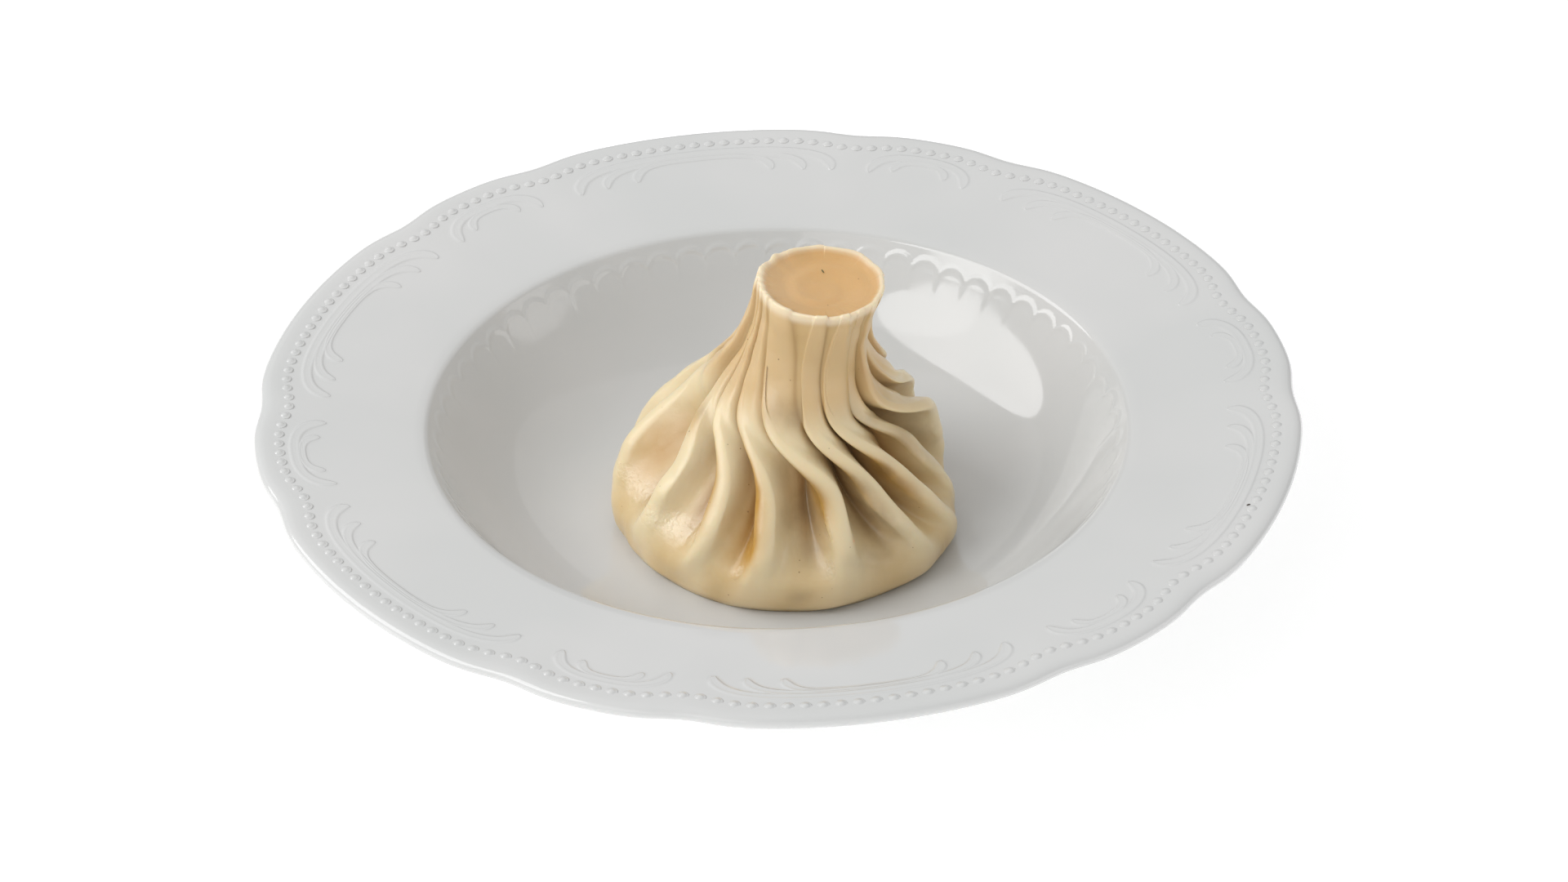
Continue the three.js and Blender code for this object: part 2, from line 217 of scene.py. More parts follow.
add_floor()
for light in LIGHTS:
    add_light(*light)
add_world()
bpy.context.scene.view_settings.view_transform = "Standard"
print("studio with", len(LIGHTS), "lights")

# %% [markdown]
# ## The plate: its section
#
# A plate is thrown or pressed as a round, so it is drawn as a section first: from the recess under
# the foot, out under the rim, round the rolled lip and back down the well to the floor. The rings
# lie close together where the moulding comes, so that there is something to shape.

# %% Plate sizes
FLOOR_HEIGHT = 7
SHOULDER_RADIUS = 78.5
SHOULDER_HEIGHT = 32.8
# The shoulder is rounded over this width, and by this much at its corner
SHOULDER_ROUNDING = 2
SHOULDER_DROP = 0.05
BEAD_RADIUS = 110
BEAD_HEIGHT = 37.4
OUTSIDE_BEADS = BEAD_RADIUS + 1.4
BEADS = 192
PLATE_COLUMNS = BEADS * 6
SCROLL_BAND = (108.4, 97.0)
SCROLL_RINGS = 24
# Rings on each plain stretch of the rim, outside the scrolls and inside them
PLAIN_RINGS = 3
SCALLOP_BAND_TOP = (77.4, 32.25)
SCALLOP_BAND_FOOT = (73.9, 27.4)
SCALLOP_RINGS = 12
FLOOR_RADIUS = 34
WALL_CURVE = 3
WALL_RINGS = 15
UNDERSIDE = [
    (53, 2), (54.8, 2), (55.8, 0.3), (56.4, 0), (58.6, 0), (59.4, 0.5), (60.2, 3.2), (61.4, 5.8),
    (66, 11), (69.8, 15.4), (72.6, 18.6), (75, 22.3), (77.2, 25.8), (79.4, 28.4), (83, 29.8), (96, 31.9),
    (110, 34.0),
]
LIP = [
    (112.8, 34.5), (114.3, 35.1), (115.1, 35.9), (115.3, 36.7), (114.9, 37.4), (114.1, 37.8),
    (112.9, 37.9), (OUTSIDE_BEADS, BEAD_HEIGHT + 0.2),
]


def rim_point(radius):
    """A point of the section on the rim's upper face, between the shoulder and the beads."""
    share = (radius - SHOULDER_RADIUS) / (BEAD_RADIUS - SHOULDER_RADIUS)
    return (radius, SHOULDER_HEIGHT + share * (BEAD_HEIGHT - SHOULDER_HEIGHT))


def even_steps(first, last, count):
    """Points on a straight stretch of the section, the first left out."""
    return [
        (first[0] + (last[0] - first[0]) * i / count, first[1] + (last[1] - first[1]) * i / count)
        for i in range(1, count + 1)
    ]


def well_wall():
    """The well's wall: it leaves the floor level and steepens evenly up to the scallops."""
    top_radius, top_height = SCALLOP_BAND_FOOT
    points = []
    for i in range(1, WALL_RINGS + 1):
        share = 1 - i / WALL_RINGS
        rise = (top_height - FLOOR_HEIGHT) * share ** WALL_CURVE
        points.append((FLOOR_RADIUS + (top_radius - FLOOR_RADIUS) * share, FLOOR_HEIGHT + rise))
    return points


def plate_section():
    scroll_outer = rim_point(SCROLL_BAND[0])
    scroll_inner = rim_point(SCROLL_BAND[1])
    shoulder = rim_point(SHOULDER_RADIUS + SHOULDER_ROUNDING)
    points = UNDERSIDE + LIP
    points += even_steps(LIP[-1], scroll_outer, PLAIN_RINGS)
    points += even_steps(scroll_outer, scroll_inner, SCROLL_RINGS)
    points += even_steps(scroll_inner, shoulder, PLAIN_RINGS)
    points += [(SHOULDER_RADIUS, SHOULDER_HEIGHT - SHOULDER_DROP), SCALLOP_BAND_TOP]
    points += even_steps(SCALLOP_BAND_TOP, SCALLOP_BAND_FOOT, SCALLOP_RINGS)
    return points + well_wall()


section = plate_section()
print("section of", len(section), "rings")

# %% [markdown]
# ## The plate: pulling the rings
#
# A filled circle is the recess under the foot. Each further point of the section is one ring: the
# face is extruded, resized about the plate's own axis and lifted, as a potter pulls a wall. The
# last face is the floor of the well, so the body is closed, with its normals pointing outward.

# %% Pull the rings
def pull_rings(name, points, columns):
    deselect_all()
    radius, height = points[0]
    bpy.ops.mesh.primitive_circle_add(
        vertices=columns, radius=radius * MM, fill_type="NGON", location=(0, 0, height * MM))
    piece = bpy.context.active_object
    piece.name = name
    bpy.ops.object.transform_apply(location=True, rotation=True, scale=True)
    bpy.ops.object.mode_set(mode="EDIT")
    bpy.ops.mesh.select_all(action="SELECT")
    for (radius, height), (next_radius, next_height) in zip(points, points[1:]):
        bpy.ops.mesh.extrude_region_move()
        grow = next_radius / radius
        bpy.ops.transform.resize(value=(grow, grow, 1), center_override=(0, 0, 0))
        bpy.ops.transform.translate(value=(0, 0, (next_height - height) * MM))
    bpy.ops.object.mode_set(mode="OBJECT")
    return piece


plate = pull_rings("soup_plate", section, PLATE_COLUMNS)
print("plate", len(plate.data.vertices), "points,", len(plate.data.polygons), "faces")

# %% [markdown]
# ## The plate: its lobed outline
#
# The rim has long and short lobes in turn, six of each, with a shallow dip between neighbours. Each
# point of the rim is drawn in by a share of the dip: all of it at the beads, none at the well, and a
# little over half at the rolled lip, whose outline is smoother.

# %% Lobed outline
SECTORS = 6
SECTOR = 360 / SECTORS
LONG_LOBE_MIDDLE = 40
SHORT_LOBE_MIDDLE = 10.5
DIP_FROM_SHORT_MIDDLE = 9.8
DIP_DEPTH = 2.2
DIP_SPREAD = 4
LIP_RADIUS = 115.3
# The share of the dip that each radius takes on
DIP_FOLLOWS = [(80, 0), (SCROLL_BAND[0], 1), (OUTSIDE_BEADS, 1), (LIP_RADIUS, 0.6)]


def dip_share(degrees):
    """How deep the outline dips at an angle: 1 in the middle of a dip, 0 on the lobes."""
    share = 0
    for side in (-1, 1):
        dip = SHORT_LOBE_MIDDLE + side * DIP_FROM_SHORT_MIDDLE
        away = (degrees - dip + SECTOR / 2) % SECTOR - SECTOR / 2
        share = share + np.exp(-((away / DIP_SPREAD) ** 2))
    return share


def polar(points):
    """The radius and the angle in degrees of each point about the plate's axis."""
    return np.hypot(points[:, 0], points[:, 1]), np.degrees(np.arctan2(points[:, 1], points[:, 0]))


def lobe_outline(points):
    radius, degrees = polar(points)
    share = np.interp(radius, *zip(*DIP_FOLLOWS))
    points[:, :2] *= (1 - share * DIP_DEPTH * dip_share(degrees) / radius)[:, None]


plate_points = read_points(plate)
lobe_outline(plate_points)
print("rim from", round(polar(plate_points)[0].max(), 1), "mm")

# %% [markdown]
# ## The plate: moulded relief
#
# The brackets on the rim are nested crescents, low and flat, each with a fine raised line along both
# edges. The flats are pressed into the mesh. The lines are finer than its cells, so each point only
# keeps how far across a crescent it lies, and the glaze's material draws the lines from that. The
# scallops are the upper edge of a thin overlay on the well's wall: the wall stands out below each
# arch and blends back into the bowl further down.

# %% Moulded relief
SCROLL_RISE = 0.15
CRESCENT_TIP_WIDTH = 0.8
CRESCENT_SWELL_FROM = 0.25
CRESCENT_SWELL_TO = 0.72
CRESCENT_POINT_STEP = 0.3
CRESCENT_SAMPLES = 4001
# A crescent's flat ends this far across, and rises over this much of the way in
CRESCENT_REACH = 1.2
CRESCENT_SLOPE = 0.6
FAR_ACROSS = 3.0
# Each crescent, from the outer one inward: half its angle in degrees, the radius of its tips, the
# radius of its top, how square its corner is, and its width at the top and in the swell of its sides
LONG_CRESCENTS = [
    (17.6, 99.3, 106.3, 5.5, 2.3, 2.9),
    (13.7, 99.3, 104.9, 5, 2.0, 2.5),
    (9.3, 99.3, 104.4, 4.6, 1.6, 2.5),
]
SHORT_CRESCENTS = [
    (6.7, 99.6, 106.5, 2.8, 2.4, 2.7),
    (3.6, 101.0, 104.9, 2.6, 1.7, 2.2),
]
CRESCENT_RANKS = len(LONG_CRESCENTS)
SCALLOPS = 66
SCALLOP_PHASE = 0.39
SCALLOP_RISE = 0.2
SCALLOP_ARCH = 3.3
SCALLOP_ROUNDNESS = 0.97
SCALLOP_EDGE = 0.8
SCALLOP_FADE = 2.4
SCALLOP_FIRST_DEPTH = 2.0


def crescent_path(half, tip, top, square, top_width, side_width):
    """Even steps along a crescent: x, y and half its width there."""
    t = np.linspace(-1, 1, CRESCENT_SAMPLES)
    bend = t * math.pi / 2
    turn = np.radians(half) * np.sign(t) * np.abs(np.sin(bend)) ** (2 / square)
    radius = tip + (top - tip) * np.abs(np.cos(bend))
    swell = ease((np.abs(t) - CRESCENT_SWELL_FROM) / (CRESCENT_SWELL_TO - CRESCENT_SWELL_FROM))
    taper = np.clip((np.abs(t) - CRESCENT_SWELL_TO) / (1 - CRESCENT_SWELL_TO), 0, 1) ** 2
    width = top_width + (side_width - top_width) * swell
    width += (CRESCENT_TIP_WIDTH - width) * taper
    x = radius * np.cos(turn)
    y = radius * np.sin(turn)
    travelled = np.concatenate([[0], np.cumsum(np.hypot(np.diff(x), np.diff(y)))])
    even = np.arange(0, travelled[-1], CRESCENT_POINT_STEP)
    return zip(*(np.interp(even, travelled, values) for values in (x, y, width / 2)))


def place_across(points, crescent, middle):
    """How far across a crescent each point lies: 0 on its middle line, 1 on its edge, more outside."""
    radius, degrees = polar(points)
    turn = np.radians((degrees - middle + SECTOR / 2) % SECTOR - SECTOR / 2)
    x = radius * np.cos(turn)
    y = radius * np.sin(turn)
    across = np.full(len(points), FAR_ACROSS)
    for path_x, path_y, half_width in crescent_path(*crescent):
        across = np.minimum(across, np.hypot(x - path_x, y - path_y) / half_width)
    return across


def scallop_relief(degrees, depth):
    """How far the wall stands out at an angle and at a depth below the top of the scallop band."""
    across = 2 * ((degrees * SCALLOPS / 360 - SCALLOP_PHASE + 0.5) % 1 - 0.5)
    edge = SCALLOP_FIRST_DEPTH + SCALLOP_ARCH * (1 - np.sqrt(1 - (SCALLOP_ROUNDNESS * across) ** 2))
    below = depth - edge
    return SCALLOP_RISE * ease(below / SCALLOP_EDGE) * (1 - ease(below / SCALLOP_FADE))


def press_brackets(points, ring):
    """Raises the crescents' flats, and returns how far across those of each rank the points lie."""
    first = len(UNDERSIDE) + len(LIP)
    on_rim = (ring >= first) & (ring <= first + PLAIN_RINGS + SCROLL_RINGS)
    rim_points = points[on_rim]
    ranks = np.full((CRESCENT_RANKS, len(points)), FAR_ACROSS)
    for crescents, middle in ((LONG_CRESCENTS, LONG_LOBE_MIDDLE), (SHORT_CRESCENTS, SHORT_LOBE_MIDDLE)):
        for rank, crescent in enumerate(crescents):
            across = place_across(rim_points, crescent, middle)
            ranks[rank, on_rim] = np.minimum(ranks[rank, on_rim], across)
    points[:, 2] += SCROLL_RISE * ease((CRESCENT_REACH - ranks.min(axis=0)) / CRESCENT_SLOPE)
    return ranks


def press_scallops(points, ring):
    """Moves the wall's points out from the wall, square to its slope where the scallops are."""
    top = section.index(SCALLOP_BAND_TOP)
    steps = np.hypot(*np.diff(np.array(section), axis=0).T)
    travelled = np.concatenate([[0], np.cumsum(steps)])
    on_wall = ring >= top
    radius, degrees = polar(points[on_wall])
    stand_out = scallop_relief(degrees, (travelled - travelled[top])[ring[on_wall]])
    fall = np.subtract(SCALLOP_BAND_FOOT, SCALLOP_BAND_TOP)
    inward, upward = -fall[1] / math.hypot(*fall), -fall[0] / math.hypot(*fall)
    points[on_wall, :2] *= (1 - inward * stand_out / radius)[:, None]
    points[on_wall, 2] += upward * stand_out


ring_of_point = np.arange(len(plate_points)) // PLATE_COLUMNS
across_ranks = press_brackets(plate_points, ring_of_point)
press_scallops(plate_points, ring_of_point)
write_points(plate, plate_points)
for rank, across in enumerate(across_ranks):
    add_attribute(plate, f"crescent_{rank}", across)
print("relief pressed")

# %% [markdown]
# ## The plate: beads
#
# A ring of small beads runs inside the lip. One bead is modelled, by the same pulling of rings: a low
# dome with a soft foot, as glaze leaves it. It is copied round the outline, which the beads follow
# into the dips, and the copies are joined into one piece.

# %% Beads
BEAD_COLUMNS = 14
BEAD_SECTION = [
    (1.4, -0.3), (1.35, 0.0), (1.15, 0.03), (0.95, 0.09), (0.77, 0.19), (0.58, 0.3), (0.38, 0.38),
    (0.18, 0.42), (0.04, 0.43),
]


def set_beads(bead):
    beads = [bead]
    for _ in range(BEADS - 1):
        copy = bead.copy()
        copy.data = bead.data.copy()
        bpy.context.scene.collection.objects.link(copy)
        beads.append(copy)
    for i, item in enumerate(beads):
        degrees = (i + 0.5) * 360 / BEADS
        radius = BEAD_RADIUS - DIP_DEPTH * dip_share(degrees)
        turn = math.radians(degrees)
        item.location = (radius * math.cos(turn) * MM, radius * math.sin(turn) * MM, BEAD_HEIGHT * MM)
    activate(bead)
    for item in beads:
        item.select_set(True)
    bpy.ops.object.join()
    bpy.ops.object.transform_apply(location=True, rotation=True, scale=True)
    return bead


beads = set_beads(pull_rings("rim_beads", BEAD_SECTION, BEAD_COLUMNS))
for piece in (plate, beads):
    activate(piece)
    bpy.ops.object.shade_smooth()
print("beads", len(beads.data.polygons), "faces")

# %% [markdown]
# ## Node helpers
#
# A material is a small graph. One helper fills a node's sockets, with a value or with a link, and
# another adds a node, sets its options and then fills its sockets. Photographs give colours as screen
# values from 0 to 255, and shaders want light, so another helper turns one into the other.

# %% Node helpers
def fill(tree, node, inputs):
    for name, value in inputs.items():
        if isinstance(value, bpy.types.NodeSocket):
            tree.links.new(value, node.inputs[name])
        else:
            node.inputs[name].default_value = value


def add(tree, kind, inputs=None, **options):
    node = tree.nodes.new(kind)
    for name, value in options.items():
        setattr(node, name, value)
    fill(tree, node, inputs or {})
    return node


def screen(red, green, blue):
    """A screen colour as the light values that a shader works in."""
    def to_light(value):
        value /= 255
        return value / 12.92 if value <= 0.04045 else ((value + 0.055) / 1.055) ** 2.4
    return (to_light(red), to_light(green), to_light(blue), 1)


def mix_colour(tree, share, first, second):
    return add(tree, "ShaderNodeMix", {0: share, 6: first, 7: second}, data_type="RGBA").outputs[2]


def remap(tree, value, low, high, new_low=0.0, new_high=1.0):
    """Stretches a range of values to another range and holds it at both ends."""
    node = add(tree, "ShaderNodeMapRange", {
        "Value": value, "From Min": low, "From Max": high, "To Min": new_low, "To Max": new_high})
    return node.outputs["Result"]


def smooth_step(tree, value, low, high):
    """0 at one value, 1 at the other, with a soft start and end."""
    node = add(tree, "ShaderNodeMapRange", {
        "Value": value, "From Min": low, "From Max": high}, interpolation_type="SMOOTHSTEP")
    return node.outputs["Result"]


def multiply(tree, first, second):
    return add(tree, "ShaderNodeMath", {0: first, 1: second}, operation="MULTIPLY").outputs[0]


def new_material(name):
    material = bpy.data.materials.new(name)
    material.use_nodes = True
    return material, material.node_tree, material.node_tree.nodes["Principled BSDF"]


def object_coordinates(tree):
    return add(tree, "ShaderNodeTexCoord").outputs["Object"]


def noise(tree, coordinates, size, detail=2.0, roughness=0.5):
    """Soft noise between 0 and 1 with features of about that size in millimetres."""
    node = add(tree, "ShaderNodeTexNoise", {
        "Vector": coordinates, "Scale": 1 / (size * MM), "Detail": detail, "Roughness": roughness})
    return node.outputs["Fac"]


def bump(tree, height, strength, distance, below=None):
    """Relief in the shading, up to that distance in millimetres, on top of the relief below it."""
    node = add(tree, "ShaderNodeBump", {
        "Height": height, "Strength": strength, "Distance": distance * MM})
    if below is not None:
        tree.links.new(below, node.inputs["Normal"])
    return node.outputs["Normal"]


def uneven_relief(tree, where, size, detail, strength, height, below=None, mask=None):
    """A layer of noise as relief, kept to a mask where one is given."""
    bumps = noise(tree, where, size, detail=detail)
    if mask is not None:
        bumps = multiply(tree, bumps, mask)
    return bump(tree, bumps, strength, height, below)


print("node helpers ready")

# %% [markdown]
# ## Node group: fine specks
#
# Flour isn't pure white: boiled dough shows sparse dark dots of bran, and glaze has a pinhole here
# and there. Both come from the same group: cells of a given spacing, a dot at the middle of each
# cell, and a random number for each cell that leaves most of them out.

# %% Fine specks group
def make_speck_group():
    group = bpy.data.node_groups.new("fine_specks", "ShaderNodeTree")
    group.interface.new_socket("Vector", in_out="INPUT", socket_type="NodeSocketVector")
    for name in ("Spacing", "Size", "Share"):
        group.interface.new_socket(name, in_out="INPUT", socket_type="NodeSocketFloat")
    group.interface.new_socket("Mask", in_out="OUTPUT", socket_type="NodeSocketFloat")
    given = add(group, "NodeGroupInput").outputs
    scale = add(group, "ShaderNodeMath", {0: 1.0, 1: given["Spacing"]}, operation="DIVIDE").outputs[0]
    cells = add(group, "ShaderNodeTexVoronoi", {"Vector": given["Vector"], "Scale": scale})
    random = add(group, "ShaderNodeSeparateColor", {"Color": cells.outputs["Color"]})
    chosen = add(group, "ShaderNodeMath", {
        0: random.outputs["Red"], 1: given["Share"]}, operation="LESS_THAN").outputs[0]
    reach = multiply(group, given["Size"], random.outputs["Green"])
    dot = add(group, "ShaderNodeMath", {
        0: cells.outputs["Distance"], 1: reach}, operation="LESS_THAN").outputs[0]
    given_out = add(group, "NodeGroupOutput")
    group.links.new(multiply(group, dot, chosen), given_out.inputs["Mask"])
    return group


speck_group = make_speck_group()


def specks(tree, coordinates, spacing, size, share):
    """A mask of dots: the cells' spacing in millimetres, a dot's size and the share of cells used."""
    node = add(tree, "ShaderNodeGroup", {
        "Vector": coordinates, "Spacing": spacing * MM, "Size": size, "Share": share,
    }, node_tree=speck_group)
    return node.outputs["Mask"]


print("speck group with", len(speck_group.nodes), "nodes")

# %% [markdown]
# ## Porcelain
#
# Glazed hard porcelain is a cool near-white with a thin clear coat of glass. The glaze is hardly
# ever quite even: a slow wave breaks up mirror images a little, and use leaves the gloss slightly
# uneven.

# %% Porcelain
PORCELAIN = screen(208, 208, 207)
PORCELAIN_THICK = screen(203, 204, 203)
PINHOLE = screen(120, 116, 108)
PINHOLE_SHARE = 0.5
GLAZE_INDEX = 1.58
GLAZE_ROUGHNESS = (0.04, 0.10)
# The slow wave in the glaze: its size in millimetres, its detail, its strength and its height
GLAZE_WAVE = (16, 1, 0.05, 0.6)
# The fine lines: their height, how far across a crescent they lie, where they start on its inner side,
# and how high its middle stands beside them
CRESCENT_LINE_RISE = 0.09
CRESCENT_LINE_PLACE = 0.72
CRESCENT_LINE_INNER = 0.2
CRESCENT_MIDDLE_SHARE = 0.35


def crescent_lines(tree):
    """Height of the raised lines: those of the highest crescent where several overlap."""
    highest = 0.0
    for rank in range(CRESCENT_RANKS):
        across = add(tree, "ShaderNodeAttribute", attribute_name=f"crescent_{rank}").outputs["Fac"]
        outer = smooth_step(tree, across, CRESCENT_REACH, CRESCENT_LINE_PLACE)
        inner = smooth_step(tree, across, CRESCENT_LINE_INNER, CRESCENT_LINE_PLACE)
        kept = add(tree, "ShaderNodeMath", {
            0: inner, 1: 1 - CRESCENT_MIDDLE_SHARE, 2: CRESCENT_MIDDLE_SHARE}, operation="MULTIPLY_ADD")
        line = multiply(tree, outer, kept.outputs[0])
        highest = add(tree, "ShaderNodeMath", {0: highest, 1: line}, operation="MAXIMUM").outputs[0]
    return highest


def make_porcelain(name, with_crescents):
    material, tree, shader = new_material(name)
    where = object_coordinates(tree)
    cloud = noise(tree, where, 45)
    colour = mix_colour(tree, remap(tree, cloud, 0.35, 0.65), PORCELAIN, PORCELAIN_THICK)
    pinholes = specks(tree, where, 14, 0.012, 0.2)
    surface = uneven_relief(tree, where, *GLAZE_WAVE)
    if with_crescents:
        surface = bump(tree, crescent_lines(tree), 1.0, CRESCENT_LINE_RISE, surface)
    fill(tree, shader, {
        "Base Color": mix_colour(tree, multiply(tree, pinholes, PINHOLE_SHARE), colour, PINHOLE),
        "Roughness": remap(tree, noise(tree, where, 9), 0.3, 0.7, *GLAZE_ROUGHNESS),
        "Normal": surface,
        "IOR": GLAZE_INDEX,
    })
    return material


plate.data.materials.append(make_porcelain("glazed_porcelain", True))
beads.data.materials.append(make_porcelain("glazed_beads", False))
print("porcelain glazed")

# %% [markdown]
# ## The dumpling: how its pleats run
#
# A round of dough is drawn up over the filling and gathered, a fold at a time, into a stem, and the
# stem is twisted. Each pleat is one line up the dumpling, given by its direction at seven even steps
# from the foot to the cut. The dough's section is given twice, on the ridges and in the valleys
# between them, and every other point lies on a fold between the two. The pleats are the packed
# model's own, and the sections and the folds' edges are a little finer, so the surface stays within
# about two millimetres of its solid.

# %% Pleats and sections
DUMPLING_FOOT = FLOOR_HEIGHT + 0.05
BASE_MIDDLE = np.array([1.0, -2.2])
STEM_MIDDLE = np.array([10, 0.5])
# The stem stands to one side of the base: from this height up, along a curve of this power
STEM_SHIFT_STARTS = 12
STEM_SHIFT_CURVE = 1.3
STEM_TOP = 60
# The section at thirteen levels: radius and height
CREST = np.array([
    [36, 0], [37.8, 2.5], [38.4, 8], [37.6, 13], [34.8, 18], [30.6, 22.5], [26.2, 27],
    [21.7, 31.5], [17.7, 36], [14.8, 41], [13.3, 46], [13, 52.5], [13.8, 60],
])
VALLEY = np.array([
    [36, 0], [37.4, 2.5], [37.2, 7.5], [33, 12], [26.4, 17], [21.6, 22], [18.4, 27],
    [16.2, 31.5], [15.4, 36], [13.8, 41], [12.6, 46], [12.4, 52.5], [13.5, 60],
])
# At the thirteen levels, a ridge is a rope of this radius, never more than a share of its fold, and
# after it the dough slopes on to its valley: the slope takes this share of the fall, and a high curve
# keeps it level until just before the next ridge
ROPE_FITS = 0.75
ROPE = np.array([3, 3, 2.6, 2.2, 2, 1.9, 1.8, 1.6, 1.3, 1, 0.8, 0.6, 0.6])
SLOPE_SHARE = np.array([0.5, 0.5, 0.4, 0.35, 0.3, 0.25, 0.3, 0.7, 1, 1, 1, 1, 1])
SLOPE_CURVE = np.array([2, 2, 2, 2, 2, 2, 2, 4, 6, 6, 6, 6, 6])
# The share of the columns that run over the rope, and of the rest those that fall from it
ROPE_COLUMNS = 0.45
FLANK_COLUMNS = 0.5
# Between these places up the dough the ropes form out of the smooth roll at the foot
ROPES_FROM = 0.12
ROPES_TO = 0.36
# Each fold laps over the one before it: its valley lies this share of the way to the next ridge
VALLEY_PLACE = np.array([0.5, 0.55, 0.64, 0.7, 0.74, 0.78, 0.8, 0.5])
# A ridge lies over by this much, between two shares of the height
LEAN_OVER = -0.9
LEAN_FROM = 0.15
LEAN_TO = 0.8
LEAST_DEPTH = 0.01
# Each pleat: its direction in degrees at seven steps, and how far its fold and the valley after it
# stand out from the section at the five steps between the ends. At the foot they stand out by a
# share of the first of these, and at the cut not at all
FOOT_SHARE = 0.8
PLEATS = [
    ([150, 148, 146, 140, 144, 162, 162], [0.5, 1.5, 3.5, 4, 3], [0, 0, 0, 1, 1]),
    ([186, 180, 176, 166, 160, 175, 172], [0, 1, 2, 3, 3], [-0.5, -0.5, -3, -1, 0]),
    ([212, 210, 212, 209, 191, 184, 182], [-1.5, -1.5, 0.5, 1, 0.5], [-1.5, 0.5, -0.5, 0, 0]),
    ([235, 237, 241, 235, 205, 193, 192], [-1.8, -0.5, 0.5, 0.5, 0.5], [-0.8, 0, -0.5, 0, 0]),
    ([254, 259, 263, 255, 224, 205, 203], [-0.3, 0, 0, 0, 0], [0, 0, -0.5, 0.5, 0]),
    ([287, 291, 291, 285, 250, 227, 216], [0.8, 1, 1.5, 1, 0], [1.2, 0, -0.5, 2, 0.5]),
    ([325, 322, 313, 302, 278, 265, 263], [2.4, 2, 1.8, 0.8, 0], [2, -1, -1, 0.5, 0]),
    ([344, 339, 330, 319, 295, 287, 287], [2.2, 1.6, 1.2, 0.5, 0], [1, 0, 1, 2, 0.5]),
    ([360, 356, 350, 342, 315, 312, 305], [0, -0.5, 0, 0, -1], [-1, -3, -5, -1, 0]),
    ([379, 376, 372, 367, 333, 333, 322], [-1, 1, 5.5, 3.5, 1], [-1, 1, 2, 1, 0]),
    ([404, 401, 397, 390, 364, 350, 344], [0, 1, 4.5, 3.5, 0], [0, 1, 2, 0, 0]),
    ([428, 425, 419, 410, 392, 378, 374], [0, 1, 3, 4, 1.5], [0, 0, 1, 1, 0]),
    ([452, 449, 441, 429, 416, 408, 410], [0, 0, 0.5, 1, 0], [0, 0, 0, 0, 0]),
    ([475, 471, 461, 449, 438, 440, 448], [0, 0, 0, 0.5, 0], [0, 0, 0, 0, 0]),
    ([494, 490, 482, 472, 468, 481, 488], [0, 0.5, 1.2, 2, 1], [0, 0, 0, 0.5, 0.5]),
]
PLEAT_TURN = np.array([turn for turn, _, _ in PLEATS], dtype=float)
PLEAT_OUT = np.array([[FOOT_SHARE * out[0], *out, 0] for _, out, _ in PLEATS])
VALLEY_OUT = np.array([[FOOT_SHARE * out[0], *out, 0] for _, _, out in PLEATS])
print(len(PLEATS), "pleats")

# %% [markdown]
# The folds are worked out for all points at once. A point is named by how far round it is, counted
# in pleats, and how far up, from 0 at the foot to 1 at the cut. Whole numbers round are ridges, and
# halves are valleys.

# %% A point of the dough
def along(levels, up):
    """Reads evenly spaced levels, one row for each point, on a smooth curve through them."""
    levels = np.broadcast_to(levels, (len(up), np.shape(levels)[-1]))
    last = levels.shape[1] - 1
    before = 2 * levels[:, :1] - levels[:, 1:2]
    after = 2 * levels[:, -1:] - levels[:, -2:-1]
    padded = np.concatenate([before, levels, after], axis=1)
    place = np.clip(up, 0, 1) * last
    i = np.minimum(place.astype(int), last - 1)
    t = place - i
    rows = np.arange(len(up))
    a, b, c, d = (padded[rows, i + k] for k in range(4))
    return 0.5 * (2 * b + (c - a) * t + (2 * a - 5 * b + 4 * c - d) * t ** 2
                  + (3 * b - a - 3 * c + d) * t ** 3)


def pleat_turn(index, up):
    """The direction of a pleat, also one counted past either end of the list."""
    count = len(PLEATS)
    return along(PLEAT_TURN[index % count], up) + 360 * (index // count)


def section_middle(height):
    """The middle of the dumpling's section at a height."""
    t = np.clip((height - STEM_SHIFT_STARTS) / (STEM_TOP - STEM_SHIFT_STARTS), 0, 1)
    x = BASE_MIDDLE[0] + (STEM_MIDDLE[0] - BASE_MIDDLE[0]) * t ** STEM_SHIFT_CURVE
    y = BASE_MIDDLE[1] + (STEM_MIDDLE[1] - BASE_MIDDLE[1]) * t
    return x, y


def fold_profile(away, side, up, width, depth):
    """Across one half of a fold: the distance from its ridge, and the height from 0 to 1."""
    slope = np.where(side > 0, along(SLOPE_SHARE, up), 0)
    rope = np.minimum(along(ROPE, up), ROPE_FITS * np.minimum(width, depth))
    bend = np.clip(away / ROPE_COLUMNS, 0, 1) * math.pi / 2
    rest = np.clip((away - ROPE_COLUMNS) / (1 - ROPE_COLUMNS), 0, 1)
    flank = 1 - (1 - np.clip(rest / np.where(side > 0, FLANK_COLUMNS, 1), 0, 1)) ** 2
    fall = (1 - slope) * flank + slope * rest ** along(SLOPE_CURVE, up)
    drop = (1 - slope) * rope * (1 - np.cos(bend))
    drop += (depth - (1 - slope) * rope) * fall
    formed = ease((up - ROPES_FROM) / (ROPES_TO - ROPES_FROM))
    travelled = width * away + formed * (rope * np.sin(bend) + (width - rope) * rest - width * away)
    wave = 0.5 + 0.5 * np.cos(math.pi * away)
    return travelled, wave + formed * (1 - drop / depth - wave)


